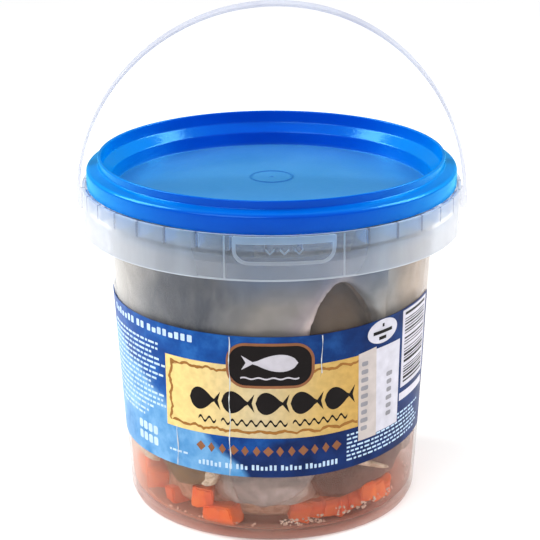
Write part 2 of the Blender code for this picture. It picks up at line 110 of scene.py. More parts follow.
# Rim: the wall flares out under the lid's ledge and ends in a bead
RIM_WALL_OUTER = 52.3
RIM_FLARE_START = 104.1
RIM_FLARE_SHIFT = 0.5
RIM_TOP = 106.5
RIM_TOP_INNER = 54.1
RIM_EDGE = 56.3
RIM_BEAD_BOTTOM = 104.6
RIM_BEAD_CHAMFER = 0.3
BUCKET_ROUNDING = 0.35

# Tear tab in the collar
TAB_LEFT = -11.1
TAB_RIGHT = 18.0
TAB_BOTTOM = 93.9
TAB_CORNER = 4.5
TAB_BORDER = 1.0
TAB_LIP_HEIGHT = 2.2
TAB_LIP_OUT = 0.38
TAB_BORDER_OUT = 0.3
TAB_SIDE_LINES = (-13.4, 20.5)
TAB_LINE_WIDTH = 0.5
TAB_LINE_OUT = 0.2
TAB_INSET = 0.3
CHEVRON_COUNT = 3
CHEVRON_SIZE = 2.6
CHEVRON_PITCH = 4.2
CHEVRON_STROKE = 0.7
WRAP_STEP = 1.2

# Lid: a sunk, domed panel, a sloping ledge, a stacking crest, a shoulder and the lip outside
LID_THICK = 0.9
LID_ROUNDING = 0.4
LID_ROUNDING_STEPS = 4
LID_LEDGE_THICK = 0.7
LID_LEDGE_SHIFT = 0.6
LID_LIP_DRAFT = 0.1
LID_SHOULDER_ROUND = 0.7
LID_PANEL_RINGS = (0.25, 0.4, 0.55, 0.7, 0.85)
LID_PANEL_EDGE = 49.6
LID_PANEL_Z = 100.6
LID_DOME = 2.9
LID_MARK_RADIUS = 6.5
LID_MARK_HEIGHT = 0.35
LID_MARK_HALF_WIDTH = 0.45
LID_GATE_SIZE = (0.8, 0.8, 0.3)
LID_LEDGE_INNER = 50.0
LID_LEDGE_INNER_Z = 104.9
LID_LEDGE_OUTER = 53.0
LID_LEDGE_OUTER_Z = 107.7
LID_CREST_INNER = 53.15
LID_CREST_OUTER = 54.12
LID_CREST_Z = 111.5
LID_CREST_FOOT_Z = 109.0
LID_SHOULDER = 57.1
LID_SHOULDER_Z = 108.2
LID_LIP_OUTER = 57.85
LID_LIP_INNER = 56.7
LID_LIP_BOTTOM = 102.6
LID_BEAD = 56.0
LID_BEAD_Z = 103.4
LID_BEAD_RISE = 0.8

# Bail handle: a flat strip bent into an arch on two click-in pins
BAIL_PIVOT_Z = 96.8
BAIL_OUTER_WIDTH = 61.2
BAIL_OUTER_HEIGHT = 62.0
BAIL_THICK = 1.0
BAIL_STRIP = 6.0
BAIL_SOFT_EDGE = 0.25
BAIL_LEAN = 1.5
BAIL_STEPS = 120
PIN_SIDES = 48
PIN_ROUNDING = 0.2
PAD_RADIUS = 3.5
PAD_INNER = 59.6
PAD_OUTER = 61.3
PIN_RADIUS = 2.1
PIN_HEAD_RADIUS = 3.0
PIN_HEAD_INNER = 57.0
PIN_HEAD_OUTER = 58.1
HOLE_RADIUS = 2.4
POCKET_RADIUS = 4.2
POCKET_INNER = 54.2
POCKET_SEAT = 58.4

# Label: its flat shape, as arc length from the front and height
LABEL_BOTTOM = 22.1
LABEL_TOP = 68.6
LABEL_LEFT = -90.2
LABEL_RIGHT = 63.9
LABEL_INNER_GAP = 0.12
LABEL_OUT = 0.3
LABEL_STEP = 0.5
LABEL_ROW = 3.0
# The label lies slightly askew: from about this arc length on it rises to the right, by this much for
# each mm, and it bends into the slope over a few mm
LABEL_SKEW_START = 14.0
LABEL_SKEW = 0.055
LABEL_SKEW_EASE = 5.0
# How far each layer of print lies off the label's face
LIFT_GROUND = 0.03
LIFT_STICKER = 0.05
LIFT_MARKS = 0.06
LIFT_STAMPS = 0.09
LIFT_PLAQUE = 0.09
LIFT_PLAQUE_FACE = 0.12
LIFT_EMBLEM = 0.15
LIFT_CREASES = 0.16
# Each crease: arc length, half width, height, and the heights where it starts and ends
CREASES = (
    (-12.9, 0.5, 0.24, 15.0, 75.0),
    (14.9, 0.45, 0.2, 56.0, 75.0),
    (-31.0, 0.5, 0.16, 15.0, 36.0),
)

# Print on the label, as (left, bottom, right, top) in arc length and height
PANEL = (-35.2, 35.3, 27.4, 59.1)
PANEL_LINE = (-33.3, 37.4, 27.2, 57.2)
PANEL_LINE_WIDTH = 0.9
PLAQUE = (-14.0, 51.9, 12.7, 66.6)
PLAQUE_RIM = 0.9
PLAQUE_CORNER = 6.0
PLAQUE_FACE_CORNER = 5.0
OVAL_BARS = ((36.2, 66.0, 37.0, 67.1), (32.6, 63.9, 40.4, 65.0), (34.9, 61.9, 37.9, 63.0))
BARCODE = (47.2, 43.4, 60.9, 66.5)
BARCODE_BARS = (0.35, 0.35, 0.6, 0.9)
BARCODE_GAPS = (0.45, 0.6, 0.9, 1.2)
WHITE_FIELDS = ((45.9, 42.0, 62.1, 68.0), (45.4, 37.6, 62.1, 40.2))
STICKER = (33.4, 31.0, 44.6, 59.4)
STRIP = ((27.6, 30.2), (34.6, 30.2), (33.9, 60.2), (27.2, 59.4))
# Middle along and up, half width and half height
OVAL = (36.6, 64.6, 6.2, 3.9)
# Fish: middle along and up, length, height, and -1 where the fish faces the other way
EMBLEM_FISH = (-0.8, 60.2, 17.0, 5.6, -1)
FISH_ROW_START = -21.0
FISH_ROW_PITCH = 10.5
FISH_ROW_COUNT = 5
FISH_ROW_SHAPE = (46.9, 10.2, 7.4)
# Waves: start, end, height, amplitude, period and width of line
EMBLEM_WAVE = (-9.6, 8.0, 55.2, 0.25, 4.4, 0.5)
WAVE_ROW_START = -23.2
WAVE_ROW_COUNTS = (2, 7, 6)
WAVE_ROW_GAP = 1.6
WAVE_PERIOD = 2.9
WAVE_MIDDLE = 40.3
WAVE_AMPLITUDE = 0.85
WAVE_WIDTH = 0.8
# Lozenges in a row, where every third one is wide
LOZENGE_COUNT = 13
LOZENGE_START = -22.6
LOZENGE_ROW_LENGTH = 42.6
LOZENGE_HEIGHTS = (29.2, 30.9, 32.6)
LOZENGE_HALF_WIDTH = 1.15
LOZENGE_HALF_WIDTH_WIDE = 1.6
# Bars in place of small print: left, right, top, rows, pitch, height and longest bar
SMALL_PRINT = (
    (-67, -35, 61.6, 14, 1.7, 0.75, 3.2),
    (-64, -41, 37.4, 2, 1.7, 0.75, 3.2),
    (23.5, 61, 33.6, 7, 1.4, 0.62, 2.2),
    (-34.5, -24.8, 27.4, 1, 1, 0.7, 2.0),
)
# Blocks in place of bold lettering: left, right, bottom, height, and the number in each word
LETTERING = (
    (-66, -25, 64.7, 2.3, (7, 2, 8)),
    (-23.5, 20.4, 24.5, 1.8, (6, 2, 3, 6, 5, 8)),
)
# Two rows of small marks: bottoms, then width, height and corner of a mark
MARK_ROWS = (29.7, 25.9)
MARK_START = -50
MARK_PITCH = 2.7
MARK_COUNT = 4
MARK_SIZE = (2.1, 2.9, 0.7)
# Columns of stamped blocks: middle, bottom and count, then half width, height and corner of a block
STAMP_COLUMNS = ((29.6, 33.4, 9), (39.8, 35.2, 6))
STAMP_PITCH = 2.7
STAMP_SIZE = (1.3, 1.5, 0.5)

# Food
FOOD_GAP = 0.35
CORE_BOTTOM = 3.2
CORE_TOP = 95.0
CORE_RADIUS_BOTTOM = 37.0
CORE_RADIUS_TOP = 40.5
CORE_ROUNDING = 4
CORE_SIDES = 96
ROLL_RADIUS = 20.5
ROLL_RING = 28.5
ROLL_GROWN = 0.6
ROLL_TURNS = 2.25
ROLL_STEPS = 84
ROLL_ROWS = 14
# Least distance from the limit of the food, and how much it grows with each turn and on a layer's inner face
ROLL_MARGIN = 0.9
ROLL_TURN_MARGIN = 2.2
ROLL_INNER_MARGIN = 1.1
FILLET_THICK = 4.5
FILLET_WINDING = 1.02
FILLING_RADIUS = 7.5
FILLING_LENGTH = 30
FILLING_ROUNDING = 3
FILLING_SIDES = 32
# Azimuth, bottom, top, azimuth of the loose end, and skin
ROLLS = (
    (-2, 10.3, 50, 120, "silver"),
    (86, 13.0, 52, 190, "tan"),
    (178, 9.0, 49, 150, "silver"),
    (-92, 16.0, 53, -60, "silver"),
    (-34, 53, 95.0, 14, "slate"),
    (56, 55, 94.5, 84, "tan"),
    (146, 52, 95.5, 120, "slate"),
    (-124, 56, 94.2, -90, "silver"),
)
GHERKIN_AZIMUTH = 27.0
GHERKIN_TIP = 82.4
GHERKIN_RADIUS = 14.0
GHERKIN_HALF_LENGTH = 24.0
GHERKIN_PRESSED = 0.6
# Grid of a piece that lies against the wall, and how far it lies behind the limit
PRESSED_STEP = 0.9
PRESSED_SINK = 0.25
CARROT_SIZE = 6.2
CARROT_RISE = 0.5
CARROT_EDGE = 0.45
CARROT_SPIN = 25.0
CARROT_TILT = 18.0
# Each run of diced carrot: start and end azimuth, start and end height, count, and depth behind the wall
CARROT_RUNS = (
    (-78, -68, 13.2, 8.6, 3, 1.0),
    (-56, -56, 4.6, 4.6, 1, 3.5),
    (-31, -31, 11.6, 11.6, 1, 0.0),
    (-26, -19, 5.9, 5.6, 2, 0.0),
    (13, 40, 6.0, 6.6, 5, 4.0),
    (45, 57, 9.6, 7.9, 3, 0.6),
    (112, 260, 7.0, 7.0, 11, 0.5),
)
# Start and end azimuth, lowest and highest place and count of each scatter of spice grains
GRAIN_RUNS = (
    (3, 22, 3.4, 7.0, 46),
    (26, 44, 5.5, 8.5, 26),
    (44, 58, 5.6, 8.6, 14),
    (-50, -5, 3.2, 4.6, 22),
    (70, 290, 3.2, 6.0, 60),
)
# Outlines of the fish that lies flat against the wall, as azimuth and height
FRONT_FLAP = (
    (-94, 58), (12, 58), (14.1, 69.8), (16.8, 76.4), (19.5, 79.9), (22.0, 82.4), (24.6, 83.3), (27.4, 82.9),
    (30.2, 81.5), (32.8, 79.4), (36.5, 75.9), (41, 70), (43, 58), (46, 58), (46, 92), (-94, 92),
)
TAN_FLAP = ((44, 58), (46, 54), (70, 51), (96, 54), (101, 64), (98, 91), (42, 91))
# Fillets round the back, in the upper and the lower layer: outline and skin
BACK_FLAPS = (
    (((105, 66), (110, 57), (130, 53), (150, 56), (158, 66), (156, 80), (151, 92), (103, 92)), "slate"),
    (((162, 58), (168, 50), (190, 46), (206, 50), (213, 62), (211, 92), (158, 92)), "silver"),
    (((217, 66), (222, 55), (244, 50), (258, 55), (263, 66), (262, 92), (215, 92)), "tan"),
    (
        ((79, 20), (84, 12), (98, 10), (116, 12), (126, 20), (129, 34), (122, 47), (96, 49), (81, 44)),
        "silver",
    ),
    (
        ((133, 22), (140, 13), (158, 10), (178, 13), (187, 22), (188, 36), (178, 45), (150, 49), (136, 42)),
        "tan",
    ),
    (
        ((192, 20), (204, 12), (224, 10), (240, 14), (248, 26), (247, 40), (234, 48), (206, 45), (194, 34)),
        "silver",
    ),
    (((252, 24), (258, 15), (268, 15), (270, 30), (269, 46), (258, 48), (253, 38)), "slate"),
)
GHERKIN_FACE = (
    (-51, 42), (-49.5, 23), (-46.6, 17.7), (-43.6, 15.0), (-40.0, 13.9),
    (-34, 14.4), (-28.6, 15.6), (-25.9, 18), (-25.0, 42),
)
GHERKIN_RIM = (
    (-31, 42), (-31, 16.0), (-27.5, 14.9), (-24.8, 15.7), (-22.9, 18.4), (-22.0, 23), (-22.4, 42),
)
STREAK = (
    (34, 23.2), (35, 21.4), (42, 19.0), (50, 16.4), (56, 14.6),
    (56.5, 15.6), (50, 18.2), (42, 21.4), (38, 23.6),
)
LOW_FLAP = (
    (-19.6, 30), (-17.9, 21.2), (-14.4, 11.9), (-4.1, 10.1), (4, 11.6),
    (10.2, 13.9), (14.8, 17.6), (20, 24), (20, 30),
)
LEFT_FLAP = ((-88, 34), (-84, 20), (-70, 15), (-58, 16.5), (-54, 22), (-54, 34))
# A dark sheet deep behind the carrots at the lower right: painted shade
RIGHT_FLAP = ((15, 34), (16, 17), (21, 11.5), (30, 9.6), (45, 11), (62, 11), (76, 16), (82, 34))

# Marinade: each layer's depth behind the wall, less than 0 where it reaches into it, how cloudy it is,
# and how much it glows towards the sides. Where a layer lies deeper, its top is a little lower.
MARINADE_TOP = 95.6
MARINADE_SINK = 0.2
MARINADE_SIDES = 144
MARINADE_ROUNDING = 1.5
MURK_LAYERS = ((-0.06, 0.05, 0.85), (1.6, 0.14, 0.0), (3.6, 0.2, 0.0), (6.5, 0.28, 0.0), (10.5, 0.4, 0.0))


def direction(azimuth):
    """Unit vector that points outwards at an azimuth."""
    angle = math.radians(azimuth)
    return Vector((math.sin(angle), -math.cos(angle), 0))


def wall_outer(height):
    return WALL_OUTER_AT_BASE + WALL_TAPER * height


def wall_inner(height):
    return wall_outer(height) - WALL_THICK


# Mesh helpers


def link_object(name, mesh):
    obj = bpy.data.objects.new(name, mesh)
    bpy.context.scene.collection.objects.link(obj)
    return obj


def object_from_points(name, points, faces):
    """A mesh object from points in millimetres, with its faces turned outwards."""
    mesh = bpy.data.meshes.new(name)
    mesh.from_pydata([(x * MM, y * MM, z * MM) for x, y, z in points], [], faces)
    mesh.validate()
    bm = bmesh.new()
    bm.from_mesh(mesh)
    bpy.data.meshes.remove(mesh)
    return object_from_bmesh(name, bm)


def object_from_bmesh(name, bm):
    bmesh.ops.recalc_face_normals(bm, faces=bm.faces)
    if bm.calc_volume(signed=True) < 0:
        bmesh.ops.reverse_faces(bm, faces=bm.faces)
    mesh = bpy.data.meshes.new(name)
    bm.to_mesh(mesh)
    bm.free()
    return link_object(name, mesh)


def evaluated_mesh(obj):
    graph = bpy.context.evaluated_depsgraph_get()
    graph.update()
    return bpy.data.meshes.new_from_object(obj.evaluated_get(graph))


def apply_modifiers(obj):
    mesh = evaluated_mesh(obj)
    obj.modifiers.clear()
    obj.data = mesh


def shade_round(obj, angle=SMOOTH_BELOW):
    obj.data.shade_smooth()
    obj.data.set_sharp_from_angle(angle=math.radians(angle))


def finish_piece(obj, material, body, angle=SMOOTH_BELOW):
    """Give a piece its material, smooth shading and the body that it moves with."""
    obj.data.materials.clear()
    obj.data.materials.append(material)
    shade_round(obj, angle)
    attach(obj, body)
    return obj


def rounded(profile, size, steps=3):
    """Round each corner of a profile off, over at most a size on each side of it."""
    made = [profile[0]]
    for before, corner, after in zip(profile, profile[1:], profile[2:]):
        before, corner, after = Vector(before), Vector(corner), Vector(after)
        into = (before - corner).normalized() * min(size, 0.45 * (before - corner).length)
        out = (after - corner).normalized() * min(size, 0.45 * (after - corner).length)
        for index in range(steps + 1):
            part = index / steps
            point = corner + into * (1 - part) ** 2 + out * part**2
            made.append((point.x, point.y))
    made.append(profile[-1])
    return made


def turned(name, profile, steps=STEPS_ROUND):
    """Spin a closed section of (radius, height) points, from the axis back to the axis or all round."""
    points = []
    columns = []
    for index in range(steps):
        outwards = direction(360 * index / steps)
        column = []
        for row, (radius, height) in enumerate(profile):
            if radius < 0.001 and index:
                column.append(columns[0][row])
                continue
            column.append(len(points))
            points.append((outwards.x * radius, outwards.y * radius, height))
        columns.append(column)
    faces = []
    for index, column in enumerate(columns):
        other = columns[(index + 1) % steps]
        for row in range(len(profile) - 1):
            corners = [column[row], column[row + 1], other[row + 1], other[row]]
            unique = list(dict.fromkeys(corners))
            if len(unique) > 2:
                faces.append(unique)
    return object_from_points(name, points, faces)


def cylinder_along_x(bm, radius, start, end, height):
    place = Matrix.Translation(((start + end) / 2 * MM, 0, height * MM))
    turn = Matrix.Rotation(math.radians(90), 4, "Y")
    bmesh.ops.create_cone(
        bm,
        cap_ends=True,
        segments=PIN_SIDES,
        radius1=radius * MM,
        radius2=radius * MM,
        depth=abs(end - start) * MM,
        matrix=place @ turn,
    )


def add_box(bm, matrix, size):
    scale = Matrix.Diagonal((size[0] * MM, size[1] * MM, size[2] * MM, 1))
    bmesh.ops.create_cube(bm, size=1.0, matrix=matrix @ scale)


def join_and_cut(obj, joined, cutters):
    """Join and cut an object with others, then remove those."""
    for tool, operation in [(t, "UNION") for t in joined] + [(t, "DIFFERENCE") for t in cutters]:
        step = obj.modifiers.new(tool.name, "BOOLEAN")
        step.operation = operation
        step.solver = "EXACT"
        step.object = tool
    apply_modifiers(obj)
    for tool in list(joined) + list(cutters):
        bpy.data.objects.remove(tool, do_unlink=True)


def flat_shape(outlines):
    """A filled flat mesh from closed outlines of (x, z) points, where an inner one is a hole."""
    curve = bpy.data.curves.new("flat", "CURVE")
    curve.dimensions = "2D"
    curve.fill_mode = "BOTH"
    for outline in outlines:
        spline = curve.splines.new("POLY")
        spline.points.add(len(outline) - 1)
        for point, (x, z) in zip(spline.points, outline):
            point.co = (x, z, 0, 1)
        spline.use_cyclic_u = True
    flat = link_object("flat", curve)
    mesh = evaluated_mesh(flat)
    bpy.data.objects.remove(flat, do_unlink=True)
    bm = bmesh.new()
    bm.from_mesh(mesh)
    bpy.data.meshes.remove(mesh)
    bmesh.ops.remove_doubles(bm, verts=bm.verts, dist=0.001)
    return bm


def slice_up(bm, step, axis):
    """Cut a mesh at every multiple of a step along one axis."""
    normal = Vector((0, 0, 0))
    normal[axis] = 1
    low = min(vert.co[axis] for vert in bm.verts)
    high = max(vert.co[axis] for vert in bm.verts)
    place = (math.floor(low / step) + 1) * step
    while place < high:
        geometry = bm.verts[:] + bm.edges[:] + bm.faces[:]
        bmesh.ops.bisect_plane(bm, geom=geometry, plane_co=normal * place, plane_no=normal, dist=0.0005)
        place += step


def arc_points(centre_x, centre_z, radius, start, end, count=10):
    points = []
    for index in range(count + 1):
        angle = math.radians(start + (end - start) * index / count)
        points.append((centre_x + radius * math.cos(angle), centre_z + radius * math.sin(angle)))
    return points


# Material helpers


class Nodes:
    """Builds a material's nodes with short calls."""

    def __init__(self, name):
        self.material = bpy.data.materials.new(name)
        self.material.use_nodes = True
        self.tree = self.material.node_tree
        self.shader = self.tree.nodes["Principled BSDF"]
        self.output = self.tree.nodes["Material Output"]

    def add(self, kind, **inputs):
        node = self.tree.nodes.new(kind)
        for name, value in inputs.items():
            self.set(node, name.replace("_", " "), value)
        return node

    def set(self, node, socket, value):
        if isinstance(value, bpy.types.NodeSocket):
            self.tree.links.new(value, node.inputs[socket])
        else:
            node.inputs[socket].default_value = value

    def place(self):
        """Place on the object, in metres."""
        return self.add("ShaderNodeTexCoord").outputs["Object"]

    def axis(self, name):
        return self.add("ShaderNodeSeparateXYZ", Vector=self.place()).outputs[name]

    def azimuth(self):
        """Degrees round the bucket, 0 at the front and positive to the right."""
        forward = self.times(self.axis("Y"), -1.0)
        return self.times(self.math("ARCTAN2", self.axis("X"), forward), math.degrees(1))

    def radius(self):
        """Distance from the bucket's axis, in metres."""
        x = self.axis("X")
        y = self.axis("Y")
        squares = self.plus(self.times(x, x), self.times(y, y))
        return self.math("SQRT", squares)

    def noise(self, scale, detail=3.0, stretch=None, roughness=0.5):
        place = self.place()
        if stretch:
            mapped = self.add("ShaderNodeMapping", Vector=place)
            mapped.inputs["Scale"].default_value = stretch
            place = mapped.outputs["Vector"]
        made = self.add("ShaderNodeTexNoise", Vector=place, Scale=scale, Detail=detail)
        made.inputs["Roughness"].default_value = roughness
        return made.outputs["Fac"]

    def ramp(self, value, stops):
        """Colour or grey from a value, by (position, colour) stops."""
        node = self.add("ShaderNodeValToRGB", Fac=value)
        ramp = node.color_ramp
        while len(ramp.elements) < len(stops):
            ramp.elements.new(0.5)
        for element, (position, color) in zip(ramp.elements, stops):
            element.position = position
            if isinstance(color, (int, float)):
                color = (color, color, color)
            element.color = (*color, 1)
        return node.outputs["Color"]

    def map(self, value, low, high, to_low=0.0, to_high=1.0):
        node = self.tree.nodes.new("ShaderNodeMapRange")
        self.set(node, "Value", value)
        for socket, number in zip(("From Min", "From Max", "To Min", "To Max"), (low, high, to_low, to_high)):
            node.inputs[socket].default_value = number
        return node.outputs["Result"]

    def math(self, operation, first, second=0.0):
        node = self.tree.nodes.new("ShaderNodeMath")
        node.operation = operation
        self.set(node, 0, first)
        self.set(node, 1, second)
        return node.outputs["Value"]

    def times(self, first, second):
        return self.math("MULTIPLY", first, second)

    def plus(self, first, second):
        return self.math("ADD", first, second)

    def rest(self, value):
        """What a value leaves of 1."""
        return self.math("SUBTRACT", 1.0, value)

    def varied(self, low, high, scale, detail=3.0, stretch=None):
        """A value that drifts softly between two ends over the object."""
        return self.map(self.noise(scale, detail, stretch), NOISE_LOW, NOISE_HIGH, low, high)

    def two_tone(self, value, first, second):
        """Colour that runs from one to another over the usual range of a noise."""
        return self.ramp(value, [(NOISE_LOW, first), (NOISE_HIGH, second)])

    def facing(self, **inputs):
        """From 0 where a surface faces the view to 1 at its edge, for a sheen."""
        return self.add("ShaderNodeLayerWeight", Blend=0.5, **inputs).outputs["Facing"]

    def color(self, shade):
        self.set(self.shader, "Base Color", shade)

    def rough(self, low, high, scale):
        """Roughness that drifts between two ends."""
        self.set(self.shader, "Roughness", self.varied(low, high, scale))

    def subsurface(self, weight, radius):
        """Light that spreads under the surface, by metres for red, green and blue."""
        self.set(self.shader, "Subsurface Weight", weight)
        self.set(self.shader, "Subsurface Radius", radius)
        self.set(self.shader, "Subsurface Scale", 1.0)

    def mix(self, factor, first, second, mode="MIX"):
        node = self.tree.nodes.new("ShaderNodeMix")
        node.data_type = "RGBA"
        node.blend_type = mode
        for socket, value in ((0, factor), (6, first), (7, second)):
            if isinstance(value, tuple):
                value = (*value, 1)
            self.set(node, socket, value)
        return node.outputs[2]

    def bump(self, height, strength, distance):
        node = self.add("ShaderNodeBump", Height=height, Strength=strength, Distance=distance)
        self.set(self.shader, "Normal", node.outputs["Normal"])
        return node.outputs["Normal"]

    def blend(self, factor, first, second):
        """Mix two shader nodes."""
        node = self.add("ShaderNodeMixShader", Fac=factor)
        self.tree.links.new(first.outputs[0], node.inputs[1])
        self.tree.links.new(second.outputs[0], node.inputs[2])
        return node

    def milk(self, tone, through):
        """A cloudy shader that scatters light back, and lets a part of it through."""
        back = self.add("ShaderNodeBsdfDiffuse", Color=tone)
        return self.blend(through, back, self.add("ShaderNodeBsdfTranslucent", Color=tone))

    def surface(self, shader):
        self.tree.links.new(shader.outputs[0], self.output.inputs["Surface"])


def srgb(red, green, blue):
    """Linear colour from 0 to 255 screen values."""
    made = []
    for value in (red, green, blue):
        part = value / 255
        made.append(part / 12.92 if part <= 0.04045 else ((part + 0.055) / 1.055) ** 2.4)
    return tuple(made)


def clear_plastic():
    """Clear polypropylene: see-through, milkier in the collar and in its ribs and lines, with a painted
    highlight on the collar's lower edge and painted blue light from the lid high up.
    """
    n = Nodes("clear_plastic_look")
    height = n.axis("Z")
    radius = n.radius()
    # Where each part of the moulding lies, by its distance from the axis and its height in metres
    collar = n.map(radius, 0.0575, 0.058)
    relief = n.map(radius, 0.05934, 0.05948)
    lower_edge = n.times(n.map(height, 0.0893, 0.089), collar)
    foot = n.map(height, 0.0048, 0.0028)
    azimuth = n.azimuth()
    right_of_left = n.map(azimuth, TAB_LEFT, TAB_LEFT + TAB_INSET)
    plate = n.times(right_of_left, n.map(azimuth, TAB_RIGHT, TAB_RIGHT - TAB_INSET))
    plate = n.times(n.times(plate, n.map(height, 0.0942, 0.0946)), collar)
    between = n.times(n.map(radius, 0.0525, 0.0528), n.map(radius, 0.0583, 0.0581))
    ribs = n.times(between, n.map(height, 0.0976, 0.0978))
    flange = n.times(between, n.map(height, 0.0978, 0.0976))
    # How milky each part is
    cloud = n.varied(0.75, 1.25, 90, 4, (1, 1, 0.25))
    haze = n.times(cloud, 0.025)
    off_middle = n.math("ABSOLUTE", n.math("SUBTRACT", azimuth, (TAB_LEFT + TAB_RIGHT) / 2))
    haze_collar = n.times(cloud, n.map(off_middle, 13.0, 30.0, 0.15, 0.32))
    haze = n.mix(collar, haze, haze_collar)
    # The extra milk on the collar's lower edge is a painted highlight
    for mask, amount in ((relief, 0.3), (lower_edge, 0.5), (ribs, 0.35), (foot, 0.34), (plate, 0.07)):
        haze = n.plus(haze, n.times(mask, amount))
    haze = n.times(haze, n.rest(flange))
    # Its tone: the contents show through the wall, and the ribs through the collar beside the tab
    # The collar turns bluer towards its top: painted blue light from the lid
    upper_tone = n.mix(n.map(height, 0.094, 0.102), srgb(214, 224, 234), srgb(184, 220, 248))
    beside_tab = n.math("GREATER_THAN", off_middle, 22.0)
    near_rib = n.math("PINGPONG", n.plus(azimuth, 180.0 - RIB_OFFSET), 180.0 / RIB_COUNT)
    rib_line = n.times(n.map(near_rib, 0.55, 0.3), n.map(height, 0.0975, 0.0985))
    rib_line = n.times(n.times(rib_line, beside_tab), collar)
    line_part = n.times(rib_line, 0.7)
    collar_tone = n.mix(line_part, upper_tone, srgb(96, 112, 150))
    wall_tone = n.mix(n.map(azimuth, -40.0, 60.0), srgb(240, 236, 228), srgb(206, 186, 170))
    tone = n.mix(collar, wall_tone, collar_tone)
    tone = n.mix(foot, tone, srgb(206, 140, 116))
    # The ribs' light blue is painted blue light from the lid
    tone = n.mix(ribs, tone, srgb(110, 176, 236))
    clear = n.add("ShaderNodeBsdfTransparent", Color=(0.985, 0.99, 0.995, 1))
    body = n.blend(haze, clear, n.milk(tone, 0.5))
    # A milky sheen towards the sides, then gloss on the outside
    facing = n.facing()
    wall_edge = n.times(n.math("POWER", facing, 6.0), 0.62)
    collar_edge = n.times(n.math("POWER", facing, 1.3), 0.66)
    edge = n.mix(collar, wall_edge, collar_edge)
    edge = n.times(edge, n.rest(flange))
    sheen_tone = n.mix(collar, wall_tone, n.mix(line_part, srgb(240, 240, 244), srgb(96, 112, 150)))
    body = n.blend(edge, body, n.milk(sheen_tone, 0.5))
    ripple = n.add("ShaderNodeBump", Height=n.noise(130, 3), Strength=0.2, Distance=0.0004)
    gloss = n.add("ShaderNodeBsdfGlossy", Roughness=0.2, Normal=ripple.outputs[0])
    fresnel = n.add("ShaderNodeFresnel", IOR=1.26, Normal=ripple.outputs[0])
    behind = n.add("ShaderNodeNewGeometry").outputs["Backfacing"]
    shine = n.times(fresnel.outputs[0], n.rest(flange))
    shine = n.times(shine, n.rest(behind))
    n.surface(n.blend(shine, body, gloss))
    return n.material


def milky_plastic():
    """The bail's thin strip: milky white, with light coming through."""
    n = Nodes("milky_plastic_look")
    shade = n.two_tone(n.noise(60, 4), srgb(214, 216, 226), srgb(230, 232, 238))
    clear = n.add("ShaderNodeBsdfTransparent", Color=(0.93, 0.935, 0.95, 1))
    through = n.add("ShaderNodeBsdfTranslucent", Color=shade)
    n.color(shade)
    n.set(n.shader, "Roughness", 0.3)
    n.bump(n.noise(400, 3), 0.15, 0.0003)
    lit = n.blend(0.4, n.shader, through)
    see = n.map(n.noise(40, 2), 0.2, 0.8, -0.05, 0.05)
    see = n.plus(see, n.map(n.axis("Z"), 0.1, 0.145, 0.68, 0.34))
    n.surface(n.blend(see, lit, clear))
    return n.material


def blue_plastic():
    """The lid: bright blue polypropylene, shiny on its rim, duller on its thin panel, whose paler, greyer
    tone is painted reflection of the white surroundings.
    """
    n = Nodes("blue_plastic_look")
    on_panel = n.map(n.radius(), 0.0497, 0.0493)
    flow = n.noise(45, 5, (1, 1, 3))
    rim_tone = n.two_tone(flow, (0.0, 0.048, 0.47), (0.0, 0.064, 0.55))
    # The panel's paler, greyer tone is painted reflection of the white surroundings
    panel_tone = n.two_tone(flow, (0.03, 0.15, 0.4), (0.045, 0.18, 0.45))
    ring = n.times(n.map(n.radius(), 0.0057, 0.0062), n.map(n.radius(), 0.0073, 0.0068))
    panel_tone = n.mix(n.times(ring, 0.75), panel_tone, (0.01, 0.08, 0.3))
    n.color(n.mix(on_panel, rim_tone, panel_tone))
    n.set(n.shader, "Specular IOR Level", 0.0)
    n.subsurface(0.12, (0.0006, 0.0012, 0.003))
    height = n.plus(n.noise(900, 2), n.times(n.noise(70, 3), 2.0))
    normal = n.bump(height, 0.15, 0.00025)
    rough = n.plus(n.map(on_panel, 0.0, 1.0, 0.12, 0.28), n.varied(0.0, 0.05, 300))
    sheen = n.add("ShaderNodeBsdfGlossy", Color=(0.0, 0.62, 0.95, 1), Roughness=0.55, Normal=normal)
    sheen_part = n.math("POWER", n.facing(Normal=normal), 1.5)
    sheen_part = n.times(sheen_part, n.map(on_panel, 0.0, 1.0, 0.55, 0.1))
    body = n.blend(sheen_part, n.shader, sheen)
    gloss = n.add("ShaderNodeBsdfGlossy", Color=(0.22, 0.76, 1.0, 1), Roughness=rough, Normal=normal)
    fresnel = n.add("ShaderNodeFresnel", IOR=1.45, Normal=normal)
    n.surface(n.blend(fresnel.outputs[0], body, gloss))
    return n.material


# Bucket, lid and handle


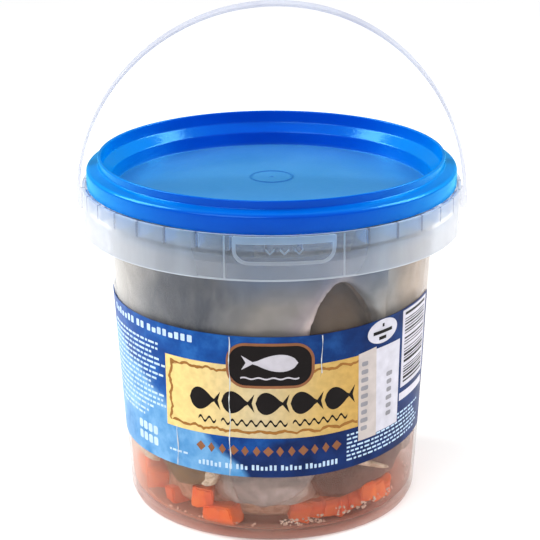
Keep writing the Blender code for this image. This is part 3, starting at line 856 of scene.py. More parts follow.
def bucket_profile():
    """The bucket's section, from the middle of its floor over the rim and down to its underside."""
    collar_inner = COLLAR_OUTER - COLLAR_THICK
    return [
        (0, FLOOR_TOP),
        (FLOOR_EDGE, FLOOR_TOP),
        (wall_inner(0) - WALL_THICK, FLOOR_TOP + WALL_THICK),
        (wall_inner(2 * CORNER_TOP), 2 * CORNER_TOP),
        (wall_inner(FLANGE_TOP), FLANGE_TOP),
        (RIM_WALL_OUTER - WALL_THICK, RIM_FLARE_START),
        (RIM_TOP_INNER, RIM_TOP),
        (RIM_EDGE, RIM_TOP),
        (RIM_EDGE, RIM_BEAD_BOTTOM + RIM_BEAD_CHAMFER),
        (RIM_EDGE - WALL_THICK, RIM_BEAD_BOTTOM),
        (RIM_TOP_INNER, RIM_TOP - WALL_THICK),
        (RIM_WALL_OUTER, RIM_FLARE_START - RIM_FLARE_SHIFT),
        (RIM_WALL_OUTER, FLANGE_TOP),
        (collar_inner, FLANGE_TOP),
        (collar_inner, COLLAR_TOP),
        (COLLAR_OUTER, COLLAR_TOP),
        (COLLAR_OUTER, COLLAR_BOTTOM),
        (collar_inner, COLLAR_BOTTOM),
        (collar_inner, FLANGE_UNDER),
        (wall_outer(FLANGE_UNDER), FLANGE_UNDER),
        (wall_outer(CORNER_TOP), CORNER_TOP),
        (FOOT_OUTER, 0),
        (FOOT_INNER, 0),
        (FOOT_INNER - FOOT_BEVEL, FLOOR_UNDER),
        (0, FLOOR_UNDER),
    ]


def lid_panel(radius):
    """Height of the lid's domed panel at a radius."""
    return LID_PANEL_Z + LID_DOME * (1 - (radius / LID_PANEL_EDGE) ** 2)


def lid_profile():
    """The lid's section, from the middle of its panel out to its lip and back underneath."""
    mark = LID_MARK_RADIUS
    half = LID_MARK_HALF_WIDTH
    radii = [LID_PANEL_EDGE * part for part in LID_PANEL_RINGS]
    top = [(0, lid_panel(0)), (mark - half, lid_panel(mark - half))]
    top += [(mark, lid_panel(mark) + LID_MARK_HEIGHT), (mark + half, lid_panel(mark + half))]
    top += [(radius, lid_panel(radius)) for radius in radii]
    top += [
        (LID_PANEL_EDGE, LID_PANEL_Z),
        (LID_LEDGE_INNER, LID_LEDGE_INNER_Z),
        (LID_LEDGE_OUTER, LID_LEDGE_OUTER_Z),
        (LID_CREST_INNER, LID_CREST_Z),
        (LID_CREST_OUTER, LID_CREST_Z),
        (LID_CREST_OUTER, LID_CREST_FOOT_Z),
        (LID_SHOULDER, LID_SHOULDER_Z),
        (LID_LIP_OUTER - LID_LIP_DRAFT, LID_SHOULDER_Z - LID_SHOULDER_ROUND),
        (LID_LIP_OUTER, LID_LIP_BOTTOM),
    ]
    ledge_under = LID_LEDGE_OUTER_Z - LID_LEDGE_THICK
    under = [
        (LID_LIP_INNER, LID_LIP_BOTTOM),
        (LID_BEAD, LID_BEAD_Z),
        (LID_LIP_INNER, LID_BEAD_Z + LID_BEAD_RISE),
        (LID_LIP_INNER, ledge_under),
        (LID_LEDGE_OUTER + LID_LEDGE_SHIFT, ledge_under),
        (LID_LEDGE_INNER + LID_LEDGE_THICK, LID_LEDGE_INNER_Z - LID_LEDGE_SHIFT),
        (LID_PANEL_EDGE + LID_THICK, LID_PANEL_Z - LID_THICK),
    ]
    under += [(radius, lid_panel(radius) - LID_THICK) for radius in reversed(radii)]
    under += [(0, lid_panel(0) - LID_THICK)]
    return top + under


def make_ribs():
    """Upright ribs that tie the collar to the rim wall, left out where the pivots are."""
    bm = bmesh.new()
    inner = RIM_WALL_OUTER - OVERLAP
    outer = COLLAR_OUTER - COLLAR_THICK + OVERLAP
    bottom = FLANGE_TOP - OVERLAP
    for index in range(RIB_COUNT):
        azimuth = RIB_OFFSET + index * 360 / RIB_COUNT
        if abs(abs((azimuth + 180) % 360 - 180) - 90) < RIB_CLEAR_OF_PIVOT:
            continue
        turn = Matrix.Rotation(math.radians(azimuth), 4, "Z")
        centre = Vector((0, -(inner + outer) / 2 * MM, (bottom + RIB_TOP) / 2 * MM))
        add_box(bm, turn @ Matrix.Translation(centre), (RIB_THICK, outer - inner, RIB_TOP - bottom))
    return object_from_bmesh("ribs", bm)


def make_pivot_cutters():
    """Holes in the collar for the bail's pins, and pockets behind them for the pins' heads."""
    bm_hole = bmesh.new()
    bm_pocket = bmesh.new()
    for side in (-1, 1):
        cylinder_along_x(bm_hole, HOLE_RADIUS, side * PIN_HEAD_INNER, side * PAD_OUTER, BAIL_PIVOT_Z)
        cylinder_along_x(bm_pocket, POCKET_RADIUS, side * POCKET_INNER, side * POCKET_SEAT, BAIL_PIVOT_Z)
    return [object_from_bmesh("pivot_pockets", bm_pocket), object_from_bmesh("pivot_holes", bm_hole)]


def wrap_on_collar(bm, azimuth, out):
    """Bend a flat shape round the collar and give it thickness, so that it stands out by some millimetres."""
    slice_up(bm, WRAP_STEP, 0)
    grown = bmesh.ops.extrude_face_region(bm, geom=bm.faces[:])
    raised = {item for item in grown["geom"] if isinstance(item, bmesh.types.BMVert)}
    for vert in bm.verts:
        radius = COLLAR_OUTER + (out if vert in raised else -OVERLAP)
        turn = math.radians(azimuth) + vert.co.x / COLLAR_OUTER
        vert.co = (radius * math.sin(turn) * MM, -radius * math.cos(turn) * MM, vert.co.y * MM)
    return bm


def tab_outline(inset, top):
    """The tab's outline, flat, with its two lower corners round."""
    half = math.radians(TAB_RIGHT - TAB_LEFT) / 2 * COLLAR_OUTER - inset
    bottom = TAB_BOTTOM + inset
    corner = TAB_CORNER - inset
    left = arc_points(-half + corner, bottom + corner, corner, 180, 270)
    right = arc_points(half - corner, bottom + corner, corner, 270, 360)
    return [(-half, top)] + left + right + [(half, top)]


def make_tab_relief():
    """The tear tab's raised border, its lip, its two side lines and three plain chevrons."""
    middle = (TAB_LEFT + TAB_RIGHT) / 2
    top = COLLAR_TOP - TAB_INSET
    lip_bottom = top - TAB_LIP_HEIGHT
    pieces = []
    outer = tab_outline(0, top - TAB_INSET)
    inner = tab_outline(TAB_BORDER, top - TAB_INSET)
    pieces.append((outer + inner[::-1], middle, TAB_BORDER_OUT))
    half = math.radians(TAB_RIGHT - TAB_LEFT) / 2 * COLLAR_OUTER - TAB_INSET
    pieces.append(([(-half, lip_bottom), (half, lip_bottom), (half, top), (-half, top)], middle, TAB_LIP_OUT))
    for azimuth in TAB_SIDE_LINES:
        side = TAB_LINE_WIDTH / 2
        foot = COLLAR_BOTTOM + 2 * TAB_INSET
        pieces.append(([(-side, foot), (side, foot), (side, top), (-side, top)], azimuth, TAB_LINE_OUT))
    size = CHEVRON_SIZE / 2
    stroke = CHEVRON_STROKE
    centre_z = (TAB_BOTTOM + TAB_BORDER + lip_bottom) / 2
    for index in range(CHEVRON_COUNT):
        x = (index - (CHEVRON_COUNT - 1) / 2) * CHEVRON_PITCH
        chevron = [
            (x - size, centre_z + size / 2),
            (x, centre_z - size / 2),
            (x + size, centre_z + size / 2),
            (x + size, centre_z + size / 2 + stroke),
            (x, centre_z - size / 2 + stroke),
            (x - size, centre_z + size / 2 + stroke),
        ]
        pieces.append((chevron, middle, TAB_LINE_OUT))
    made = []
    for number, (outline, azimuth, out) in enumerate(pieces):
        bm = wrap_on_collar(flat_shape([outline]), azimuth, out)
        made.append(object_from_bmesh(f"tab_relief_{number}", bm))
    return made


def make_bucket(material):
    bucket = turned("bucket_shell", rounded(bucket_profile(), BUCKET_ROUNDING))
    join_and_cut(bucket, [make_ribs()] + make_tab_relief(), make_pivot_cutters())
    finish_piece(bucket, material, "bucket", SMOOTH_MOULDED)
    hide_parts("bucket")


def make_lid(material):
    """The lid, and the small gate mark in the middle of its panel."""
    lid = turned("lid_shell", rounded(lid_profile(), LID_ROUNDING, LID_ROUNDING_STEPS))
    finish_piece(lid, material, "bucket", SMOOTH_SOFT)
    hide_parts("lid")
    nub = bmesh.new()
    bmesh.ops.create_uvsphere(nub, u_segments=20, v_segments=10, radius=1)
    place = Matrix.Translation((0, 0, lid_panel(0) * MM))
    shape = Matrix.Diagonal((*[size * MM for size in LID_GATE_SIZE], 1))
    bmesh.ops.transform(nub, matrix=place @ shape, verts=nub.verts)
    gate = finish_piece(object_from_bmesh("lid_gate_mark", nub), material, "bucket")


def arch_point(half_width, half_height, angle):
    """A place on the bail's arch, which leans a little to the right at its top."""
    rise = math.sin(angle)
    return half_width * math.cos(angle) + BAIL_LEAN * rise**2, BAIL_PIVOT_Z + half_height * rise


def make_handle(material):
    """The bail's strip, its two round ends and the headed pins that hold it in the collar."""
    angles = [math.pi * i / BAIL_STEPS for i in range(BAIL_STEPS + 1)]
    half_strip = BAIL_STRIP / 2
    soft = BAIL_SOFT_EDGE
    # Corners of the strip's section, as depth from the outer face and place across it
    section = [
        (0, -half_strip + soft),
        (0, half_strip - soft),
        (soft, half_strip),
        (BAIL_THICK - soft, half_strip),
        (BAIL_THICK, half_strip - soft),
        (BAIL_THICK, -half_strip + soft),
        (BAIL_THICK - soft, -half_strip),
        (soft, -half_strip),
    ]
    points = []
    for angle in angles:
        for depth, across in section:
            x, z = arch_point(BAIL_OUTER_WIDTH - depth, BAIL_OUTER_HEIGHT - depth, angle)
            points.append((x, across, z))
    count = len(section)
    faces = [list(range(count))[::-1], list(range(len(points) - count, len(points)))]
    for index in range(BAIL_STEPS):
        for corner in range(count):
            here = index * count
            after = (corner + 1) % count
            faces.append([here + corner, here + after, here + count + after, here + count + corner])
    handle = object_from_points("bail", points, faces)
    end_profile = [
        (0, PAD_OUTER),
        (PAD_RADIUS, PAD_OUTER),
        (PAD_RADIUS, PAD_INNER),
        (PIN_RADIUS, PAD_INNER),
        (PIN_RADIUS, PIN_HEAD_OUTER),
        (PIN_HEAD_RADIUS, PIN_HEAD_OUTER),
        (PIN_HEAD_RADIUS, PIN_HEAD_INNER),
        (0, PIN_HEAD_INNER),
    ]
    ends = []
    for side in (-1, 1):
        end = turned(f"bail_end_{side}", rounded(end_profile, PIN_ROUNDING), PIN_SIDES)
        outwards = Matrix.Rotation(math.radians(side * 90), 4, "Y")
        end.data.transform(Matrix.Translation((0, 0, BAIL_PIVOT_Z * MM)) @ outwards)
        ends.append(end)
    join_and_cut(handle, ends, [])
    finish_piece(handle, material, "handle", SMOOTH_MOULDED)
    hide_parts("handle")


# Label and its print


def label_radius(height):
    return wall_outer(height) + LABEL_OUT


def label_point(along, height, lift):
    """A place on the label's face, from the arc length along it, its height and a lift off it."""
    raised = lift
    for middle, half_width, rise, start, end in CREASES:
        if start < height < end:
            raised += rise * math.exp(-(((along - middle) / half_width) ** 2))
    past = along - LABEL_SKEW_START
    place = height + LABEL_SKEW * (past + math.hypot(past, LABEL_SKEW_EASE)) / 2
    turn = math.degrees(along / label_radius(place))
    spot = direction(turn) * (label_radius(place) + raised)
    return (spot.x, spot.y, place)


def print_patch(outlines, lift):
    """Points and faces of a flat shape of (along, height) outlines, laid on the label."""
    bm = flat_shape(outlines)
    slice_up(bm, LABEL_STEP, 0)
    slice_up(bm, LABEL_ROW, 1)
    bmesh.ops.recalc_face_normals(bm, faces=bm.faces)
    bm.verts.index_update()
    points = [label_point(vert.co.x, vert.co.y, lift) for vert in bm.verts]
    faces = [[vert.index for vert in face.verts] for face in bm.faces]
    bm.free()
    return points, faces


def make_print(name, shapes, material):
    """One object from many shapes of one colour, each with its lift off the label."""
    points = []
    faces = []
    for outlines, lift in shapes:
        patch_points, patch_faces = print_patch(outlines, lift)
        faces += [[index + len(points) for index in face] for face in patch_faces]
        points += patch_points
    obj = object_from_points(name, points, faces)
    for polygon in obj.data.polygons:
        if polygon.normal.dot(Vector((polygon.center.x, polygon.center.y, 0))) < 0:
            polygon.flip()
    finish_piece(obj, material, "bucket", SMOOTH_PRINT)
    return obj


def at_lift(lift, outlines):
    """Shapes for make_print, one for each outline, all at one lift."""
    return [([outline], lift) for outline in outlines]


def rectangle(left, bottom, right, top):
    return [(left, bottom), (right, bottom), (right, top), (left, top)]


def rounded_rectangle(left, bottom, right, top, corner):
    points = arc_points(right - corner, top - corner, corner, 0, 90)
    points += arc_points(left + corner, top - corner, corner, 90, 180)
    points += arc_points(left + corner, bottom + corner, corner, 180, 270)
    points += arc_points(right - corner, bottom + corner, corner, 270, 360)
    return points


def ellipse(centre_x, centre_z, half_width, half_height, count=40):
    angles = [math.tau * index / count for index in range(count)]
    return [(centre_x + half_width * math.cos(a), centre_z + half_height * math.sin(a)) for a in angles]


def fish(centre_x, centre_z, length, height, facing=1):
    """A simple fish: a plump body that runs into a forked tail."""
    body = []
    for index in range(13):
        part = index / 12
        body.append((-0.5 + 0.78 * part, 0.5 * math.sin(math.pi * part**0.75) ** 0.8))
    tail = [(0.3, 0.06), (0.5, 0.42), (0.42, 0.0), (0.5, -0.42), (0.3, -0.06)]
    lower = [(x, -z) for x, z in reversed(body[1:-1])]
    outline = body[:-1] + tail + lower
    return [(centre_x + facing * x * length, centre_z + z * height) for x, z in outline]


def wave_band(start, end, centre_z, amplitude, period, width):
    """A wavy line with a width, along the label."""
    count = max(8, int((end - start) / period * 8))
    upper = []
    lower = []
    for index in range(count + 1):
        x = start + (end - start) * index / count
        z = centre_z + amplitude * math.sin(math.tau * (x - start) / period)
        upper.append((x, z + width / 2))
        lower.append((x, z - width / 2))
    return upper + lower[::-1]


def text_bars(draw, left, right, top, rows, pitch, height, longest):
    """Rows of short bars in place of small print."""
    made = []
    for row in range(rows):
        z = top - row * pitch
        x = left
        end = right - draw.uniform(0, 0.22) * (right - left)
        while x < end:
            length = min(draw.uniform(0.8, longest), end - x)
            if length > 0.5:
                made.append(rectangle(x, z - height, x + length, z))
            x += length + draw.uniform(0.4, 0.7)
    return made


def letter_blocks(draw, left, right, bottom, height, words):
    """A row of narrow plain blocks in place of a line of bold lettering."""
    made = []
    count = sum(words)
    gap = 0.28 * height
    space = 0.7 * height
    width = (right - left - space * (len(words) - 1) - gap * (count - len(words))) / count
    x = left
    for word in words:
        for _ in range(word):
            wide = width * draw.uniform(0.85, 1.0)
            top = bottom + height * draw.choice((1.0, 1.0, 0.72))
            made.append(rounded_rectangle(x, bottom, x + wide, top, min(wide, height) * 0.2))
            x += width + gap
        x += space - gap
    return made


def panel_border():
    """Outline pair of the brown line inside the cream panel, uneven as if torn, open at its right."""
    draw = random.Random(4)
    left, bottom, right, top = PANEL_LINE
    centre = [(right, top), (left, top), (left, bottom), (right, bottom)]
    outer = []
    inner = []
    for (x0, z0), (x1, z1) in zip(centre, centre[1:]):
        length = math.hypot(x1 - x0, z1 - z0)
        count = int(length / 0.9)
        across = Vector((-(z1 - z0), x1 - x0)) / length
        for index in range(1 if outer else 0, count + 1):
            part = index / count
            wander = 0.35 * math.sin(part * length * 0.9) + draw.uniform(-0.28, 0.28)
            half = PANEL_LINE_WIDTH / 2 * draw.uniform(0.75, 1.25)
            x = x0 + (x1 - x0) * part
            z = z0 + (z1 - z0) * part
            outer.append((x - across.x * (half - wander), z - across.y * (half - wander)))
            inner.append((x + across.x * (half + wander), z + across.y * (half + wander)))
    return outer + inner[::-1]


def copper_shapes():
    """The plaque's rim and the row of lozenges."""
    low, middle, high = LOZENGE_HEIGHTS
    lozenges = []
    for index in range(LOZENGE_COUNT):
        x = LOZENGE_START + index * LOZENGE_ROW_LENGTH / (LOZENGE_COUNT - 1)
        wide = LOZENGE_HALF_WIDTH if index % 3 else LOZENGE_HALF_WIDTH_WIDE
        lozenges.append([(x - wide, middle), (x, low), (x + wide, middle), (x, high)])
    rim = rounded_rectangle(*PLAQUE, PLAQUE_CORNER)
    return at_lift(LIFT_PLAQUE, [rim]) + at_lift(LIFT_GROUND, lozenges)


def dark_shapes(draw):
    """The plaque's face, the row of fish, the wavy lines, and the bars of the oval and the barcode."""
    left, bottom, right, top = PLAQUE
    rim = PLAQUE_RIM
    face = rounded_rectangle(left + rim, bottom + rim, right - rim, top - rim, PLAQUE_FACE_CORNER)
    places = [FISH_ROW_START + index * FISH_ROW_PITCH for index in range(FISH_ROW_COUNT)]
    marks = [fish(x, *FISH_ROW_SHAPE) for x in places]
    x = WAVE_ROW_START
    for count in WAVE_ROW_COUNTS:
        end = x + count * WAVE_PERIOD
        marks.append(wave_band(x, end, WAVE_MIDDLE, WAVE_AMPLITUDE, WAVE_PERIOD, WAVE_WIDTH))
        x += count * WAVE_PERIOD + WAVE_ROW_GAP
    marks += [rectangle(*bar) for bar in OVAL_BARS]
    left, z, right, top = BARCODE
    while z < top:
        thick = draw.choice(BARCODE_BARS)
        marks.append(rectangle(left, z, right, z + thick))
        z += thick + draw.choice(BARCODE_GAPS)
    return at_lift(LIFT_PLAQUE_FACE, [face]) + at_lift(LIFT_MARKS, marks)


def white_shapes():
    """The fields behind the barcode and under it, the oval and the sticker."""
    grounds = [rectangle(*field) for field in WHITE_FIELDS] + [ellipse(*OVAL)]
    return at_lift(LIFT_GROUND, grounds) + at_lift(LIFT_STICKER, [rectangle(*STICKER)])


def small_shapes(draw):
    """Bars and blocks in place of small print and lettering, and two rows of small marks."""
    made = []
    for block in SMALL_PRINT:
        made += text_bars(draw, *block)
    for line in LETTERING:
        made += letter_blocks(draw, *line)
    wide, high, corner = MARK_SIZE
    for bottom in MARK_ROWS:
        for index in range(MARK_COUNT):
            x = MARK_START + index * MARK_PITCH
            made.append(rounded_rectangle(x, bottom, x + wide, bottom + high, corner))
    return at_lift(LIFT_GROUND, made)


def crease_shapes(draw):
    """Uneven pale lines along the tops of the film's creases: painted highlights."""
    made = []
    for along, half_width, _, start, end in CREASES:
        low = max(start, LABEL_BOTTOM + 0.2)
        high = min(end, LABEL_TOP - 0.2)
        count = int((high - low) / 1.5)
        right_side = []
        left_side = []
        for index in range(count + 1):
            z = low + (high - low) * index / count
            x = along + 0.2 * math.sin(z * 0.5)
            half = half_width * draw.uniform(0.1, 0.42)
            right_side.append((x + half, z))
            left_side.append((x - half, z))
        made.append(right_side + left_side[::-1])
    return at_lift(LIFT_CREASES, made)


def stamp_shapes(draw):
    """Columns of plain blocks in place of stamped figures."""
    half_width, high, corner = STAMP_SIZE
    made = []
    for x, bottom, count in STAMP_COLUMNS:
        for index in range(count):
            z = bottom + index * STAMP_PITCH
            wide = half_width * draw.uniform(0.8, 1.1)
            made.append(rounded_rectangle(x - wide, z, x + wide, z + high, corner))
    return at_lift(LIFT_STAMPS, made)


def make_film():
    """The label's film: a thin bent sheet with creases, closed at its edges."""
    columns = int((LABEL_RIGHT - LABEL_LEFT) / LABEL_STEP)
    heights = [LABEL_BOTTOM]
    while heights[-1] + LABEL_ROW < LABEL_TOP:
        heights.append((math.floor(heights[-1] / LABEL_ROW + 0.001) + 1) * LABEL_ROW)
    heights.append(LABEL_TOP)
    points = []
    for lift in (0.0, LABEL_INNER_GAP - LABEL_OUT):
        for column in range(columns + 1):
            along = LABEL_LEFT + (LABEL_RIGHT - LABEL_LEFT) * column / columns
            points += [label_point(along, height, lift) for height in heights]
    rows = len(heights)
    back = (columns + 1) * rows
    faces = []
    for column in range(columns):
        for row in range(rows - 1):
            a = column * rows + row
            faces.append([a, a + rows, a + rows + 1, a + 1])
            faces.append([back + a, back + a + 1, back + a + rows + 1, back + a + rows])
        for row in (0, rows - 1):
            a = column * rows + row
            side = [a, a + rows, back + a + rows, back + a]
            faces.append(side if row else side[::-1])
    for column in (0, columns):
        for row in range(rows - 1):
            a = column * rows + row
            side = [a, a + 1, back + a + 1, back + a]
            faces.append(side if column else side[::-1])
    film = object_from_points("label_film", points, faces)
    finish_piece(film, label_blue(), "bucket", SMOOTH_PRINT)
    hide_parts("label")


def make_label():
    """The label's film and, in place of its words and marks, plain bars, waves and simple fish."""
    make_film()
    draw = random.Random(7)
    panel = at_lift(LIFT_GROUND, [rectangle(*PANEL)])
    border = at_lift(LIFT_MARKS, [panel_border()])
    emblem = at_lift(LIFT_EMBLEM, [fish(*EMBLEM_FISH), wave_band(*EMBLEM_WAVE)])
    strip = at_lift(LIFT_MARKS, [STRIP])
    make_print("print_panel", panel, cream_print())
    make_print("print_border", border, flat_print("brown_print_look", (156, 106, 50)))
    make_print("print_copper", copper_shapes(), flat_print("copper_print_look", (142, 92, 62)))
    make_print("print_dark", dark_shapes(draw), flat_print("dark_print_look", (20, 15, 15)))
    make_print("print_white", white_shapes(), flat_print("white_print_look", (208, 206, 216)))
    make_print("print_small", small_shapes(draw), flat_print("small_print_look", (192, 216, 238)))
    make_print("print_emblem", emblem, flat_print("emblem_print_look", (196, 192, 200)))
    # The pale lines along the creases are painted highlights
    make_print("print_crease_highlights", crease_shapes(draw), flat_print("crease_highlight_look", (206, 212, 214)))
    make_print("print_stamps", stamp_shapes(draw), flat_print("stamp_look", (148, 146, 152)))
    make_print("print_strip", strip, flat_print("strip_print_look", (198, 188, 184)))


# Label materials


def film_finish(n):
    """The label's thin satin film: light, uneven gloss and a faint ripple."""
    n.rough(0.3, 0.44, 220)
    n.set(n.shader, "Specular IOR Level", 0.1)
    n.bump(n.noise(160, 4), 0.2, 0.0003)


def flat_print(name, color):
    """One ink: its colour varies slightly, as on handled film."""
    n = Nodes(name)
    worn = tuple(min(255, value * 1.03 + 3) for value in color)
    faded = tuple(value * 0.95 for value in color)
    n.color(n.two_tone(n.noise(260, 5), srgb(*faded), srgb(*worn)))
    film_finish(n)
    return n.material


def cream_print():
    """The panel: warm cream at the left, greyer in the middle and golden at the right."""
    n = Nodes("cream_print_look")
    across = n.map(n.axis("X"), -0.036, 0.028)
    shade = n.ramp(across, [
        (0.0, srgb(240, 210, 132)),
        (0.22, srgb(236, 208, 140)),
        (0.5, srgb(206, 188, 148)),
        (0.78, srgb(208, 174, 106)),
        (1.0, srgb(202, 160, 84)),
    ])
    speckle = n.ramp(n.noise(500, 4), [(0.35, 0.9), (0.65, 1.05)])
    n.color(n.mix(1.0, shade, speckle, "MULTIPLY"))
    film_finish(n)
    return n.material


def label_blue():
    """The label's ground: blue, darker to the right, sky blue low at the left and navy low in the middle."""
    n = Nodes("label_blue_look")
    x = n.axis("X")
    z = n.axis("Z")
    mottle = n.noise(120, 5, None, 0.6)
    wander = n.varied(-1.0, 1.0, 55)
    left = n.ramp(mottle, [(0.3, srgb(8, 56, 126)), (0.5, srgb(16, 76, 152)), (0.72, srgb(40, 106, 182))])
    right = n.ramp(mottle, [(0.3, srgb(2, 28, 74)), (0.5, srgb(6, 42, 98)), (0.72, srgb(22, 66, 128))])
    ground = n.mix(n.map(n.plus(x, n.times(wander, 0.006)), -0.02, 0.03), left, right)
    sky = n.two_tone(mottle, srgb(60, 136, 196), srgb(138, 190, 230))
    navy = n.two_tone(mottle, srgb(8, 28, 72), srgb(22, 52, 112))
    low_left = n.plus(n.times(x, -30.0), n.times(z, -34.0))
    sky_mask = n.map(n.plus(low_left, n.times(wander, 0.14)), -0.62, -0.5)
    low_right = n.plus(n.times(x, 9.0), n.times(z, -60.0))
    navy_mask = n.map(n.plus(low_right, n.times(wander, 0.2)), -2.05, -1.9)
    shade = n.mix(n.times(sky_mask, 0.9), ground, sky)
    shade = n.mix(n.times(navy_mask, n.rest(sky_mask)), shade, navy)
    n.color(shade)
    film_finish(n)
    return n.material


# Food


def inside_limit(height):
    """How far out food may reach at a height."""
    floor = FLOOR_TOP + FOOD_GAP
    low = max(0.0, 3 * CORNER_TOP - height) / (3 * CORNER_TOP - floor)
    return wall_inner(height) - FOOD_GAP - CORNER_TOP * low**2


def press(spot, margin=0.0):
    """Move a point that would pass the wall or floor back to just inside it."""
    height = max(spot[2], FLOOR_TOP + FOOD_GAP)
    reach = math.hypot(spot[0], spot[1])
    limit = inside_limit(height) - margin
    if reach > limit:
        return (spot[0] * limit / reach, spot[1] * limit / reach, height)
    return (spot[0], spot[1], height)


def uneven(spot, amount, size, seed=0.0):
    """A soft random value at a place, in millimetres."""
    return amount * noise.noise(Vector(spot) / size + Vector((seed, seed * 1.7, -seed)))


def uneven_shift(spot, amount, size):
    """A soft random shift at a place, in millimetres."""
    return Vector([uneven(spot, amount, size, seed) for seed in (1, 2, 3)])


def add_food(obj, materials):
    """Give a piece of food its materials, and let it stand with the bucket."""
    obj.data.materials.clear()
    for material in materials:
        obj.data.materials.append(material)
    shade_round(obj, SMOOTH_SOFT)
    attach(obj, "bucket")
    return obj


def food_from_bmesh(name, bm, points, material):
    """A piece of food with the faces of a bmesh, and its vertices moved to new points."""
    bm.verts.index_update()
    faces = [[vert.index for vert in face.verts] for face in bm.faces]
    bm.free()
    return add_food(object_from_points(name, points, faces), (material,))


def make_roll(name, azimuth, bottom, top, seam, skin, flesh):
    """A rolled fillet stood on end: one long strip, wound round and pressed to the wall."""
    centre = direction(azimuth) * ROLL_RING
    count = int(ROLL_TURNS * ROLL_STEPS)
    rows = ROLL_ROWS
    points = []
    for index in range(count + 1):
        turn = index / count * ROLL_TURNS
        angle = math.radians(seam - 90) + turn * math.tau
        radius = ROLL_RADIUS + ROLL_GROWN - FILLET_THICK / 2 - FILLET_THICK * FILLET_WINDING * turn
        thin = FILLET_THICK / 2 * min(1, 0.3 + index / 26, 0.4 + (count - index) / 20)
        seed = azimuth * 0.1
        edge_top = top + uneven((turn * 30, 0, 0), 3.0, 9, seed)
        edge_bottom = bottom + uneven((turn * 30, 50, 0), 3.0, 9, seed)
        for side in (1, -1):
            # Each layer is pressed a little deeper than the one outside it
            margin = ROLL_MARGIN + ROLL_TURN_MARGIN * turn + (0 if side > 0 else ROLL_INNER_MARGIN)
            for row in range(rows):
                part = row / (rows - 1) if side > 0 else 1 - row / (rows - 1)
                height = edge_bottom + (edge_top - edge_bottom) * part
                belly = math.sin(math.pi * min(1, max(0, part))) ** 0.35
                reach = radius + side * thin * belly
                x = centre.x + reach * math.cos(angle)
                y = centre.y + reach * math.sin(angle)
                reach += uneven((x, y, height), 1.1, 7, seed) + uneven((x, y, height), 0.35, 2.2, seed)
                x = centre.x + reach * math.cos(angle)
                y = centre.y + reach * math.sin(angle)
                points.append(press((x, y, height), margin))
    around = 2 * rows
    faces = [list(range(around)), list(range(len(points) - around, len(points)))[::-1]]
    for index in range(count):
        for step in range(around):
            here = index * around
            after = (step + 1) % around
            faces.append([here + step, here + around + step, here + around + after, here + after])
    roll = object_from_points(name, points, faces)
    add_food(roll, (skin, flesh))
    for number, polygon in enumerate(roll.data.polygons):
        step = (number - 2) % around
        polygon.material_index = 0 if number > 1 and step < rows - 1 else 1
    return roll


def distance_to_outline(x, z, outline):
    """Shortest distance from a place to a closed outline."""
    best = 1e9
    for (x0, z0), (x1, z1) in zip(outline, outline[1:] + outline[:1]):
        dx, dz = x1 - x0, z1 - z0
        part = max(0, min(1, ((x - x0) * dx + (z - z0) * dz) / (dx * dx + dz * dz)))
        best = min(best, math.hypot(x - x0 - part * dx, z - z0 - part * dz))
    return best


def make_pressed(name, outline, thick, edge, material, seed=0.0, back_off=0.0):
    """A piece that lies against the wall, from an outline of (azimuth, height) points."""
    scale = math.radians(1) * wall_inner(sum(z for _, z in outline) / len(outline))
    flat = [(azimuth * scale, z) for azimuth, z in outline]
    bm = flat_shape([flat])
    slice_up(bm, PRESSED_STEP, 0)
    slice_up(bm, PRESSED_STEP, 1)
    bmesh.ops.recalc_face_normals(bm, faces=bm.faces)
    bm.verts.index_update()
    fronts = []
    backs = []
    for vert in bm.verts:
        x, z = vert.co.x, vert.co.y
        near = min(1, distance_to_outline(x, z, flat) / edge)
        depth = back_off + thick * (1 - math.sqrt(1 - (1 - near) ** 2))
        depth += uneven((x, z, 0), 0.5, 5, seed) + PRESSED_SINK
        outwards = direction(x / scale)
        reach = inside_limit(z) - max(depth, 0)
        inner = inside_limit(z) - back_off - thick - 0.6
        fronts.append((outwards.x * reach, outwards.y * reach, z))
        backs.append((outwards.x * min(inner, reach - 0.3), outwards.y * min(inner, reach - 0.3), z))
    count = len(fronts)
    faces = []
    for face in bm.faces:
        loop = [vert.index for vert in face.verts]
        faces.append(loop)
        faces.append([index + count for index in reversed(loop)])
    for border in bm.edges:
        if len(border.link_faces) == 1:
            a, b = (vert.index for vert in border.verts)
            faces.append([a, b, b + count, a + count])
    bm.free()
    return add_food(object_from_points(name, fronts + backs, faces), (material,))


def make_gherkin(material):
    """The plump gherkin in the upper layer, against the wall with its tip up."""
    bm = bmesh.new()
    bmesh.ops.create_uvsphere(bm, u_segments=56, v_segments=48, radius=1)
    centre_z = GHERKIN_TIP - GHERKIN_HALF_LENGTH
    centre = direction(GHERKIN_AZIMUTH) * (wall_inner(centre_z) - GHERKIN_RADIUS + GHERKIN_PRESSED)
    points = []
    for vert in bm.verts:
        ridge = 1 + 0.015 * math.cos(7 * math.atan2(vert.co.y, vert.co.x))
        x = centre.x + vert.co.x * GHERKIN_RADIUS * ridge
        y = centre.y + vert.co.y * GHERKIN_RADIUS * ridge
        z = centre_z + math.copysign(abs(vert.co.z) ** 1.15, vert.co.z) * GHERKIN_HALF_LENGTH
        bumpy = 1 + uneven((x, y, z), 0.02, 3.5)
        points.append(press((centre.x + (x - centre.x) * bumpy, centre.y + (y - centre.y) * bumpy, z)))
    return food_from_bmesh("gherkin_upper", bm, points, material)


